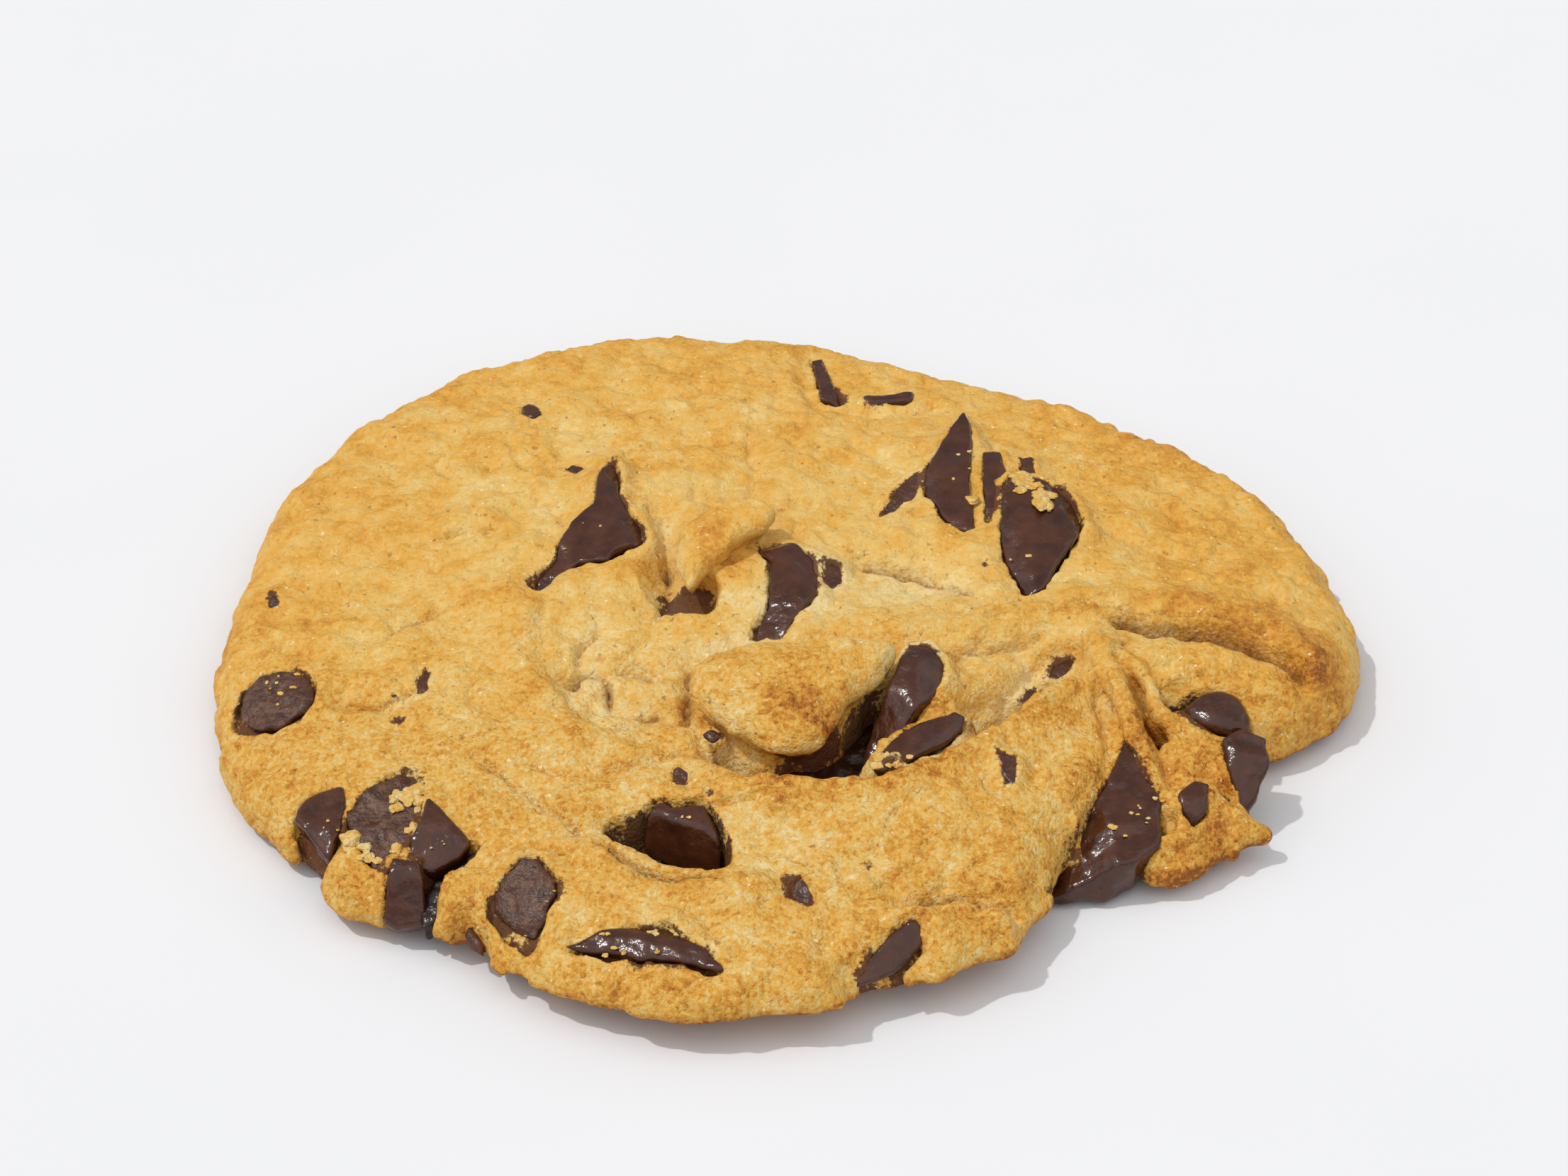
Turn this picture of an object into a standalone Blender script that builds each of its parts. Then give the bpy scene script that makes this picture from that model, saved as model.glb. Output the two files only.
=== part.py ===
"""Chocolate chip cookie: one piece of baked dough with chunks and chips of chocolate set in it.

The cookie lies flat, its top up. Its origin is the middle of its box on the surface it rests on.
Lengths in the tables below are in millimetres, and MM turns them into Blender's metres. They are
measured from the middle of the dough's round, and an empty moves the whole to the middle of its box.
"""
import math

import bmesh
import bpy
from mathutils import Matrix, Vector

MM = 0.001

# Driving sizes of the dough.
MEAN_RADIUS = 50.2
BOX_MIDDLE = (0.07, 0.316)
CENTRE_HEIGHT = 9.3          # crown of the plain dome, before folds and dips
RIM_HEIGHT = 5.9             # top of the dome where it reaches the rim
RIM_SLOPE = 0.6              # how much lower the far rim is, and how much higher the near one
DOME_POWER = 0.8             # below 1, the dome is flatter on top and steeper at its rim
RIM_START = 0.90             # share of the radius at which the top begins to round over
RIM_WAIST = 0.36             # share of the rim's height at which it is widest
FOOT_START = 0.84            # share of the radius at which the underside leaves the table
FOOT_EDGE = 0.955            # share of the radius at which the underside meets the rim
FOOT_LIFT = 0.5              # rise of the underside's edge all round
FOOT_LIFT_NEAR = 2.3         # further rise on the near side, where the cookie curls up
FOOT_LIFT_HEADING = 285.0
FOOT_LIFT_POWER = 1.5        # above 1, the underside rises faster towards its edge

# The turned mesh of the dough.
TURN_STEPS = 90
TOP_RINGS = 16
RIM_RINGS = 4
FOOT_RINGS = 2
LUMP_STEPS = 22
LUMP_RINGS = 9

# How chocolate sits in dough.
SOCKET_GAP = 0.35
SOCKET_RISE = 6.0
CHUNK_INSET = 0.15
CHUNK_BEVEL = 0.4
MERGE_DISTANCE = 0.00001
PARALLEL_LIMIT = 1e-9        # below it, two lines count as parallel
CORNER_LIMIT = 0.5           # a sharp corner moves out by no more than 1 / CORNER_LIMIT times the amount

# The outline is a round with slow waves (cosine and sine of 1, 2, 3 and 4 turns) ...
OUTLINE_WAVES = ((-2.8, 0.8), (2.5, -0.2), (2.1, 0.45), (0.4, 0.5))
# ... and local swells and nicks: heading in degrees, half width in degrees, height.
OUTLINE_SWELLS = (
    (5, 8, 0.6), (43, 22, 1.4), (92, 55, 1.9), (110, 60, 0.7), (127, 4, 0.6), (140, 8, 1.1),
    (153, 6, 0.9), (172, 10, -0.9), (204, 10, 1.0), (208, 7, -0.8), (216, 2.5, -1.2), (222, 4, 0.9),
    (230, 2.5, 1.4), (233, 6, -1.6), (252, 10, 1.2), (260, 6, 1.3), (276, 18, 3.4), (294, 3, 1.4),
    (304, 4, 2.0), (305.5, 7.5, -5.5), (322, 9, 2.4), (338, 6.5, -4.2), (356, 7, 1.2),
)

# Folds run along a path. A rise above zero is a roll of dough and below zero a crease.
# Each gives its rise, its width on the left of its path and on the right, and its path.
FOLDS = (
    # The long back roll that crosses to the right edge, and the crease under it.
    (1.3, 4.0, 2.2, ((6, -6), (14, -6), (23, -2.5), (36, -1.3), (46, -3.8), (49, -9))),
    (-1.5, 1.8, 2.0, ((31, -4.2), (37, -6), (43.5, -7.6), (48, -11.5))),
    # The roll of the near half, which faces the deep crevice.
    (1.3, 2.4, 6.5, ((27, -10), (21, -15.5), (14, -22), (7, -27.2), (-1, -28))),
    (-4.2, 1.9, 1.9, ((24.5, -9), (20.5, -13), (16, -17.6), (12, -21.5), (6, -24.4), (0, -24.2), (-6, -20))),
    # The strand that hangs from the roll down towards the notch.
    (1.6, 1.8, 1.8, ((27.5, -8), (30, -11.5), (31.2, -17), (31.6, -23))),
    (-2.0, 1.7, 1.7, ((33.5, -12.5), (38, -13.5), (42, -15.5))),
    # Small creases of the top.
    (-1.4, 1.4, 1.6, ((-12, 12.5), (-10.9, 5.5), (-10.7, 0.5))),
    (-1.2, 1.6, 1.6, ((-2.5, -5), (-5.3, -7.5), (-7.8, -9.8))),
    (-1.2, 1.7, 1.7, ((1.8, 43.5), (3.8, 33.6), (13.6, 34.4))),
    (-0.8, 1.8, 1.8, ((-41, -13.4), (-36, -13.4), (-33, -10.6))),
    (-1.0, 1.8, 1.8, ((9.4, -39.5), (13, -38.6), (18.5, -38.6), (20, -40.5))),
    (-2.4, 2.2, 1.8, ((-16.5, -31.6), (-12, -30.6), (-6.5, -31))),
    (0.9, 2.0, 2.0, ((-17.5, -34), (-13.5, -37), (-8, -39.6), (-3.5, -38.5))),
    # The low ridge between the shard's hollow and the sunken middle.
    (0.8, 3.0, 3.0, ((-27, 1.5), (-23, -3.5), (-24, -10), (-19, -18))),
)

# Broad swells and hollows: middle, reach along x and y, height.
SWELLS = (
    ((-15.5, -9.5), (8.5, 8.5), -1.3),    # sunken pale middle
    ((-7.0, 5.0), (6.0, 6.0), 0.8),       # swell that the small lump sits on
    ((40.0, -8.5), (9.0, 7.0), 0.5),      # lobe at the right
    ((15.0, -30.0), (13.0, 8.0), 0.9),    # near roll at its fullest
    ((35.5, -24.0), (6.5, 9.0), -3.2),    # torn place that the crumb fills
    ((27.5, -34.5), (5.5, 6.5), -3.0),    # front of the notch
    ((-36.0, -29.0), (7.0, 6.0), -0.6),
    ((-20.0, 9.0), (9.0, 10.0), 0.5),
    ((19.0, 13.0), (11.0, 11.0), 0.6),
    ((10.0, 3.0), (6.0, 4.0), -0.5),
)

# Lumps of dough that stand proud and overhang: name, middle, height of their widest level, lowest and
# highest point, and the outline at their widest, which can all be seen from the middle.
LUMPS = (
    ("nose", (0, -16.8), 9.8, 6.0, 13.3,
     ((-9.2, -17), (-8.2, -13.6), (-4.5, -11.8), (1, -11), (6.5, -11.2), (9.2, -12.6), (8.8, -15),
      (7, -17.2), (5.3, -19.9), (3.4, -22.6), (1.5, -23.4), (-1.5, -23), (-4, -21.3), (-7.3, -20.4))),
    ("small_lump", (-6.6, 4.4), 9.4, 6.5, 11.8,
     ((-10.6, 2.4), (-10, 6.6), (-7, 8.8), (-3.9, 9.4), (-2.3, 7.2), (-3.6, 4.6), (-5.2, 2), (-7.8, -1.2),
      (-9.8, -1.4))),
    ("crumb", (35.7, -26), 4.2, 0.9, 7.0,
     ((32.6, -22), (32.6, -17.6), (35, -15.6), (37.8, -16.6), (38.6, -21), (39.8, -25.5), (40.8, -29.4),
      (38.3, -31), (36, -33.4), (32.4, -35), (30.4, -34), (32, -31), (32.6, -27))),
)
LUMP_FULLNESS = 0.65         # below 1, a lump is fuller than an ellipsoid

# Chunks of chocolate: name, height of the top face, thickness, share by which the foot is narrower,
# tilt and the heading it tilts to in degrees, and the outline of the top face.
CHUNKS = (
    ("chunk_left_outer", 6.7, 3.8, 0.1, 14, 210,
     ((-44.4, -26), (-42.7, -25), (-40.5, -24.8), (-40, -28.5), (-40.6, -31.4), (-41.8, -32.8),
      (-43.2, -30))),
    ("chunk_left_middle", 7.5, 4.2, 0.1, 12, 240,
     ((-38, -27.5), (-35, -25), (-33.6, -24.2), (-32.5, -25.5), (-33, -31), (-34.6, -33.3), (-36.5, -33.6),
      (-37.9, -31))),
    ("chunk_left_inner", 7.2, 4.0, 0.1, 12, 300,
     ((-31.6, -28), (-29.7, -30.5), (-27.8, -33.2), (-28.6, -34.2), (-30, -35.3), (-31.5, -34.8), (-32, -32),
      (-31.9, -29))),
    ("chunk_left_rim", 5.6, 3.8, 0.1, 26, 232,
     ((-34.6, -34.9), (-32.5, -35.9), (-31.9, -37.6), (-31.2, -38.6), (-31.7, -40.2), (-34.4, -40.2),
      (-34.9, -37.6))),
    ("chunk_front_sliver", 5.2, 3.0, 0.1, 24, 262,
     ((-20, -42.6), (-17.4, -41.9), (-12.8, -41.4), (-9.6, -42), (-6.6, -44.4), (-5, -46.4), (-10.4, -45.2),
      (-16.2, -43.7))),
    ("chunk_front_pocket", 7.7, 4.4, 0.1, 8, 20,
     ((-12.6, -31), (-11.4, -29.2), (-8.2, -29), (-7.3, -30.4), (-6, -34), (-6.6, -35), (-8.8, -34.8),
      (-12.2, -32.8))),
    ("chunk_front_rim", 5.0, 2.6, 0.1, 34, 285,
     ((5.6, -45.8), (6, -43.9), (7.8, -42), (9.8, -39.7), (10.7, -40.1), (11.1, -41.3), (10.8, -42.4),
      (8.8, -44.3), (6.4, -46.3))),
    ("chunk_shard", 10.4, 5.4, 0.1, 7, 250,
     ((-24.6, 2.6), (-22.3, 8.4), (-20.6, 13.2), (-18.7, 17.4), (-17.2, 20), (-16.3, 19), (-15, 14.2),
      (-13.4, 10.8), (-13.4, 8.8), (-18.4, 5.8), (-22.3, 3), (-24, 1.4))),
    ("chunk_centre", 9.9, 4.6, 0.1, 10, 200,
     ((-3.6, 7.3), (-2.4, 8.1), (-0.6, 8.3), (1.8, 7), (2.6, 4.8), (1.8, -0.7), (0, -3.6), (-1.8, -5.6),
      (-3.4, -4.8), (-1.9, 0), (-2.4, 3.6))),
    ("chunk_nose_side", 10.2, 5.0, 0.0, 17, 245,
     ((8.4, -16), (9.3, -13.3), (10.5, -11.6), (12, -10.6), (13.3, -11.5), (13.4, -13.5), (12.4, -15.7),
      (10.3, -17.6), (8.9, -17.5))),
    ("chunk_crevice", 9.0, 3.4, 0.1, 16, 300,
     ((7.2, -24.6), (8.2, -21.3), (10.5, -19.4), (15.3, -17.5), (16.4, -17.4), (14.9, -20), (12.4, -22.3),
      (9.5, -24.2))),
    ("chunk_back_first", 9.8, 4.6, 0.1, 6, 240,
     ((13.2, 17), (15, 24.5), (16, 26.8), (17.6, 25), (17.4, 18.5), (17.3, 11.4), (16, 10.9), (14.6, 12.7))),
    ("chunk_back_second", 9.8, 4.4, 0.1, 6, 240,
     ((18.8, 22), (20.6, 22.3), (20.7, 17), (20.3, 12.8), (19, 11.8), (18.4, 12))),
    ("chunk_back_third", 10.2, 4.8, 0.1, 9, 260,
     ((21.5, 14), (21.9, 18.2), (23, 18.2), (25.5, 15), (27.5, 12), (28, 8.5), (25.2, 3.8), (23.5, 1.2),
      (21.8, 0.7), (20.7, 2.8), (20.3, 6.5), (20.8, 10))),
    ("chunk_far_bar", 7.8, 3.2, 0.1, 6, 80,
     ((2.1, 43), (3.4, 43.5), (4.6, 37.6), (5.5, 34.8), (5.2, 34), (3, 34.4), (2.7, 37.6))),
    ("chunk_far_side", 7.8, 2.8, 0.1, 6, 80,
     ((7.4, 35.8), (10.5, 36.4), (12.6, 36.9), (12.3, 35), (7.7, 34.4))),
    ("chunk_right_crease", 7.1, 4.0, 0.1, 18, 300,
     ((34.8, -14), (37, -12), (40, -11.8), (41.2, -13.1), (40.9, -15.6), (39, -15.9), (36, -15.2))),
    ("chunk_right_edge", 5.8, 4.0, 0.1, 26, 330,
     ((39.3, -18.7), (41.4, -17.8), (42.7, -18.3), (42, -22.5), (41, -26), (40.2, -24.6), (39.4, -21.5))),
    ("chunk_notch_slab", 5.4, 3.6, 0.0, 11, 275,
     ((30, -19.6), (31, -22), (31.6, -27.2), (31.4, -29.6), (30.6, -32), (28.5, -34.2), (25.5, -34.8),
      (22.8, -34.4), (24.4, -30.6), (26.8, -27.2), (29.2, -22.5))),
    ("chip_in_crumb", 7.0, 3.2, 0.1, 18, 330,
     ((34.4, -24.5), (35.6, -23.6), (36.7, -24.8), (36.8, -27), (35.5, -28.5), (34.6, -27.4))),
    ("chip_far_left", 8.2, 2.4, 0.1, 6, 90,
     ((-27.2, 33.4), (-26.4, 34.1), (-25.3, 33.5), (-25, 32.1), (-25.7, 31.1), (-26.8, 31.3))),
)

# Round chips, flat side up: name, middle, height of the flat side, radius, tilt and its heading.
CHIPS = (
    ("chip_left", (-47.0, -12.0), 6.7, 4.1, 19, 200),
    ("chip_front_left", (-22.7, -38.7), 6.4, 3.4, 27, 243),
)
CHIP_STEPS = 22
# A chip's side, as shares of its radius: distance from its axis, and depth below its flat side.
CHIP_SIDE = ((0.92, 0.0), (1.0, 0.1), (0.96, 0.32), (0.72, 0.66), (0.38, 0.95), (0.0, 1.1))

DOUGH_COLOUR = (0.56, 0.33, 0.11, 1.0)
CHOCOLATE_COLOUR = (0.05, 0.018, 0.01, 1.0)
DOUGH_ROUGHNESS = 0.85
CHOCOLATE_ROUGHNESS = 0.35


def clear_scene():
    for old in list(bpy.data.objects):
        bpy.data.objects.remove(old, do_unlink=True)


def new_collection(name):
    group = bpy.data.collections.new(name)
    bpy.context.scene.collection.children.link(group)
    return group


def new_material(name, colour, roughness):
    material = bpy.data.materials.new(name)
    material.use_nodes = True
    shader = material.node_tree.nodes["Principled BSDF"]
    shader.inputs["Base Color"].default_value = colour
    shader.inputs["Roughness"].default_value = roughness
    shader.inputs["Metallic"].default_value = 0.0
    return material


def outline_radius(heading):
    """Distance from the middle to the widest edge of the dough, for a heading in radians."""
    radius = MEAN_RADIUS
    for turn, (cosine, sine) in enumerate(OUTLINE_WAVES, start=1):
        radius += cosine * math.cos(turn * heading) + sine * math.sin(turn * heading)
    degrees = math.degrees(heading)
    for middle, half_width, height in OUTLINE_SWELLS:
        apart = (degrees - middle + 180.0) % 360.0 - 180.0
        radius += height * math.exp(-(apart / half_width) ** 2)
    return radius


def nearest_on_path(x, y, path):
    """Signed distance from a path, above zero on its left."""
    best, side = math.inf, 1.0
    for (ax, ay), (bx, by) in zip(path, path[1:]):
        run_x, run_y = bx - ax, by - ay
        along = ((x - ax) * run_x + (y - ay) * run_y) / (run_x ** 2 + run_y ** 2)
        along = min(max(along, 0.0), 1.0)
        off_x, off_y = x - ax - along * run_x, y - ay - along * run_y
        apart = math.hypot(off_x, off_y)
        if apart < best:
            best = apart
            side = 1.0 if run_x * off_y - run_y * off_x > 0 else -1.0
    return side * best


def top_height(x, y):
    """Height of the dough's top at a point, as if its rim weren't rounded."""
    heading = math.atan2(y, x)
    share = min(math.hypot(x, y) / outline_radius(heading), 1.0)
    rim = RIM_HEIGHT - RIM_SLOPE * math.sin(heading) * share
    height = rim + (CENTRE_HEIGHT - rim) * (1.0 - share ** 2) ** DOME_POWER
    for rise, left, right, path in FOLDS:
        apart = nearest_on_path(x, y, path)
        height += rise * math.exp(-(apart / (left if apart > 0 else right)) ** 2)
    for (mid_x, mid_y), (reach_x, reach_y), rise in SWELLS:
        height += rise * math.exp(-((x - mid_x) / reach_x) ** 2 - ((y - mid_y) / reach_y) ** 2)
    return height


def foot_lift(share, heading):
    """How far the underside stands off the table, which is nothing but near the edge."""
    if share <= FOOT_START:
        return 0.0
    near = max(math.cos(heading - math.radians(FOOT_LIFT_HEADING)), 0.0)
    outward = (share - FOOT_START) / (1.0 - FOOT_START)
    return (FOOT_LIFT + FOOT_LIFT_NEAR * near) * outward ** FOOT_LIFT_POWER


def mesh_object(name, mesh, group, origin=None, place=None):
    """An object in a collection, placed from the origin empty where one is given."""
    item = bpy.data.objects.new(name, mesh)
    group.objects.link(item)
    item.parent = origin
    if place is not None:
        item.matrix_local = place
    return item


def evaluated_mesh(source):
    """The mesh that an object's modifiers or its curve give, welded, with its faces pointing out."""
    view = bpy.context.evaluated_depsgraph_get()
    mesh = bpy.data.meshes.new_from_object(source.evaluated_get(view))
    work = bmesh.new()
    work.from_mesh(mesh)
    bmesh.ops.remove_doubles(work, verts=work.verts, dist=MERGE_DISTANCE)
    bmesh.ops.recalc_face_normals(work, faces=work.faces)
    work.to_mesh(mesh)
    work.free()
    bpy.data.objects.remove(source, do_unlink=True)
    return mesh


def turned_mesh(name, profile, steps):
    """A profile turned about the z axis. It starts at the top, on the axis, and ends below on it."""
    line = bpy.data.meshes.new(name)
    points = [(x, 0.0, z) for x, z in profile]
    line.from_pydata(points, [(i, i + 1) for i in range(len(points) - 1)], [])
    blank = mesh_object(name, line, bpy.context.scene.collection)
    screw = blank.modifiers.new("turn", "SCREW")
    screw.axis = "Z"
    screw.steps = steps
    screw.render_steps = steps
    screw.use_merge_vertices = True
    screw.merge_threshold = MERGE_DISTANCE
    bpy.context.view_layer.update()
    return evaluated_mesh(blank)


def dough_profile():
    """The dough's section as shares of its radius and of its height."""
    profile = [(RIM_START * ring / TOP_RINGS, 1.0) for ring in range(TOP_RINGS + 1)]
    for ring in range(1, RIM_RINGS + 1):
        turn = 0.5 * math.pi * ring / RIM_RINGS
        profile.append((RIM_START + (1.0 - RIM_START) * math.sin(turn),
                        RIM_WAIST + (1.0 - RIM_WAIST) * math.cos(turn)))
    for ring in range(1, FOOT_RINGS + 1):
        turn = 0.5 * math.pi * ring / FOOT_RINGS
        profile.append((FOOT_EDGE + (1.0 - FOOT_EDGE) * math.cos(turn), RIM_WAIST * (1.0 - math.sin(turn))))
    profile += [(0.5 * (FOOT_EDGE + FOOT_START), 0.0), (FOOT_START, 0.0), (0.0, 0.0)]
    return profile


def shape_dough(mesh):
    """Turns the round blank of unit radius and height into the cookie."""
    for vertex in mesh.vertices:
        share_x, share_y, level = vertex.co
        share = math.hypot(share_x, share_y)
        heading = math.atan2(share_y, share_x)
        radius = outline_radius(heading)
        x, y = share_x * radius, share_y * radius
        z = level * top_height(x, y) + (1.0 - level) * foot_lift(share, heading)
        vertex.co = Vector((x, y, z)) * MM


def reach_in_outline(middle, heading, outline):
    """How far an outline lies from its middle at a heading."""
    direction = Vector((math.cos(heading), math.sin(heading)))
    for i, corner in enumerate(outline):
        start = Vector(outline[i - 1]) - Vector(middle)
        run = Vector(corner) - Vector(outline[i - 1])
        across = direction.cross(run)
        if abs(across) < PARALLEL_LIMIT:
            continue
        reach = start.cross(run) / across
        share = start.cross(direction) / across
        if reach > 0.0 and 0.0 <= share <= 1.0:
            return reach
    raise ValueError("the outline isn't seen from its middle")


def make_lump(row, origin, group):
    """A full round lump on an outline, which a Boolean union joins to the dough."""
    name, middle, widest, low, high, outline = row
    work = bmesh.new()
    bmesh.ops.create_uvsphere(work, u_segments=LUMP_STEPS, v_segments=LUMP_RINGS, radius=1.0)
    for vertex in work.verts:
        level = min(max(vertex.co.z, -1.0), 1.0)
        heading = math.atan2(vertex.co.y, vertex.co.x)
        share = (1.0 - level ** 2) ** (0.5 * LUMP_FULLNESS)
        reach = share * reach_in_outline(middle, heading, outline)
        half = high - widest if level > 0.0 else widest - low
        x, y = middle[0] + reach * math.cos(heading), middle[1] + reach * math.sin(heading)
        vertex.co = Vector((x, y, widest + level * half)) * MM
    mesh = bpy.data.meshes.new(name)
    work.to_mesh(mesh)
    work.free()
    return guide(mesh_object(name, mesh, group, origin))


def guide(item):
    item.hide_render = True
    item.display_type = "WIRE"
    return item


def grown(outline, amount):
    """An outline moved outwards by an amount, or inwards where that is below zero."""
    count = len(outline)
    area = sum(outline[i][0] * outline[(i + 1) % count][1] - outline[(i + 1) % count][0] * outline[i][1]
               for i in range(count))
    outward = 1.0 if area > 0 else -1.0
    moved = []
    for i, point in enumerate(outline):
        here = Vector(point)
        before = (here - Vector(outline[i - 1])).normalized()
        after = (Vector(outline[(i + 1) % count]) - here).normalized()
        normal = Vector((before.y + after.y, -before.x - after.x)).normalized() * outward
        spread = max(normal.dot(Vector((before.y, -before.x)) * outward), CORNER_LIMIT)
        moved.append(tuple(here + normal * (amount / spread)))
    return moved


def prism_mesh(name, outline, low, high, taper, depth):
    """A flat outline extruded from low to high, narrower below zero by taper at the given depth."""
    curve = bpy.data.curves.new(name, "CURVE")
    curve.dimensions = "2D"
    curve.fill_mode = "BOTH"
    curve.extrude = 0.5 * (high - low) * MM
    spline = curve.splines.new("POLY")
    spline.points.add(len(outline) - 1)
    for point, (x, y) in zip(spline.points, outline):
        point.co = (x * MM, y * MM, 0.0, 1.0)
    spline.use_cyclic_u = True
    blank = bpy.data.objects.new(name, curve)
    bpy.context.scene.collection.objects.link(blank)
    bpy.context.view_layer.update()
    mesh = evaluated_mesh(blank)
    middle = 0.5 * (high + low) * MM
    for vertex in mesh.vertices:
        vertex.co.z += middle
        width = 1.0 + taper * vertex.co.z / (depth * MM)
        vertex.co.x *= width
        vertex.co.y *= width
    return mesh


def chip_profile(radius, gap, rise):
    """The section of a round chip, or of its socket where gap and rise are above zero."""
    scale = (radius + gap) / radius
    side = [(x * radius * scale * MM, -z * radius * scale * MM) for x, z in CHIP_SIDE]
    if rise:
        straight = [(0.0, rise * MM), (radius * scale * MM, rise * MM)]
        return straight + side[1:]
    return [(0.0, 0.0)] + side


def resting_place(x, y, z, tilt, heading):
    """The place of a piece whose top face leans by tilt towards a heading."""
    turn = math.radians(heading)
    lean = Matrix.Rotation(math.radians(tilt), 4, Vector((-math.sin(turn), math.cos(turn), 0.0)))
    return Matrix.Translation(Vector((x, y, z)) * MM) @ lean


def make_chunk(row, origin, cookie, sockets, material):
    name, top, depth, taper, tilt, heading, outline = row
    mid_x = sum(x for x, _ in outline) / len(outline)
    mid_y = sum(y for _, y in outline) / len(outline)
    local = [(x - mid_x, y - mid_y) for x, y in outline]
    place = resting_place(mid_x, mid_y, top, tilt, heading)
    solid = prism_mesh(name, grown(local, -CHUNK_INSET), -depth, 0.0, taper, depth)
    body = mesh_object(name, solid, cookie, origin, place)
    body.data.materials.append(material)
    bevel = body.modifiers.new("worn edges", "BEVEL")
    bevel.width = CHUNK_BEVEL * MM
    bevel.segments = 1
    bevel.limit_method = "ANGLE"
    wide = grown(local, SOCKET_GAP - CHUNK_INSET)
    socket = prism_mesh("socket_" + name, wide, -depth - SOCKET_GAP, SOCKET_RISE, taper, depth)
    guide(mesh_object("socket_" + name, socket, sockets, origin, place))


def make_chip(row, origin, cookie, sockets, material):
    name, (x, y), top, radius, tilt, heading = row
    place = resting_place(x, y, top, tilt, heading)
    solid = turned_mesh(name, chip_profile(radius, 0.0, 0.0), CHIP_STEPS)
    body = mesh_object(name, solid, cookie, origin, place)
    body.data.materials.append(material)
    body.data.shade_smooth()
    socket = turned_mesh("socket_" + name, chip_profile(radius, SOCKET_GAP, SOCKET_RISE), CHIP_STEPS)
    guide(mesh_object("socket_" + name, socket, sockets, origin, place))


def add_boolean(target, label, operation, group):
    joint = target.modifiers.new(label, "BOOLEAN")
    joint.operation = operation
    joint.solver = "EXACT"
    joint.operand_type = "COLLECTION"
    joint.collection = group


def make_dough(origin, cookie, lumps, sockets, material):
    mesh = turned_mesh("dough", dough_profile(), TURN_STEPS)
    shape_dough(mesh)
    mesh.shade_smooth()
    dough = mesh_object("dough", mesh, cookie, origin)
    dough.data.materials.append(material)
    add_boolean(dough, "lumps", "UNION", lumps)
    add_boolean(dough, "sockets", "DIFFERENCE", sockets)
    return dough


def main():
    clear_scene()
    cookie = new_collection("chocolate_chip_cookie")
    lumps = new_collection("lumps")
    sockets = new_collection("sockets")
    dough_material = new_material("dough", DOUGH_COLOUR, DOUGH_ROUGHNESS)
    chocolate = new_material("chocolate", CHOCOLATE_COLOUR, CHOCOLATE_ROUGHNESS)
    origin = bpy.data.objects.new("middle_of_round", None)
    cookie.objects.link(origin)
    origin.location = (-BOX_MIDDLE[0] * MM, -BOX_MIDDLE[1] * MM, 0.0)
    for row in LUMPS:
        make_lump(row, origin, lumps)
    for row in CHUNKS:
        make_chunk(row, origin, cookie, sockets, chocolate)
    for row in CHIPS:
        make_chip(row, origin, cookie, sockets, chocolate)
    make_dough(origin, cookie, lumps, sockets, dough_material)


main()
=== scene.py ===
"""Looks of the chocolate chip cookie.

Lengths in the tables are in millimetres, measured from the middle of the dough's round, and SHIFT
moves them to the middle of the cookie's box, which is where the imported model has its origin.
The dough is worked out as a field of distances from its surface, on a grid, and meshed where the
field is zero. So are the chunks of chocolate, each in its own tilted frame.
"""
import math

import bmesh
import bpy
import numpy as np
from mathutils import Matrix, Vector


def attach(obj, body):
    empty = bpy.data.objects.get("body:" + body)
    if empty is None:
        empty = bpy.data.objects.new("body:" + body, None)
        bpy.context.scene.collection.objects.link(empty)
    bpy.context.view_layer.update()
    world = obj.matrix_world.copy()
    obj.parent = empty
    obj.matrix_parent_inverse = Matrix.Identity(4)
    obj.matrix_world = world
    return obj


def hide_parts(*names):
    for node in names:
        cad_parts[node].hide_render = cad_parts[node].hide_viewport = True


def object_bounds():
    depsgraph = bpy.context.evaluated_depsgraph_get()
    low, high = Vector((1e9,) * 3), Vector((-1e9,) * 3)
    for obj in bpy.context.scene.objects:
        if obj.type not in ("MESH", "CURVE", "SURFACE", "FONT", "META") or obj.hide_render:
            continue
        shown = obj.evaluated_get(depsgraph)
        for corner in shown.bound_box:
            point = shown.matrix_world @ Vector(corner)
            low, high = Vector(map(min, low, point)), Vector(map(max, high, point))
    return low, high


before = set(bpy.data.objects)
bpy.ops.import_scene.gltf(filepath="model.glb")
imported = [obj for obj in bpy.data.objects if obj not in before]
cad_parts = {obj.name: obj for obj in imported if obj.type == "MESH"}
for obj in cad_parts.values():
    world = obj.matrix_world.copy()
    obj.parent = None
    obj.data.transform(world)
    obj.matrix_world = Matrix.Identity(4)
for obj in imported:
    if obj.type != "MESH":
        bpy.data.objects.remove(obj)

import openvdb
from mathutils import Matrix, Vector

CAD_BOX = [list(corner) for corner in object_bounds()]
MM = 0.001
BOX_MARGIN = 1e-6
SHIFT = (-0.07, -0.316, 0.0)

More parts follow.
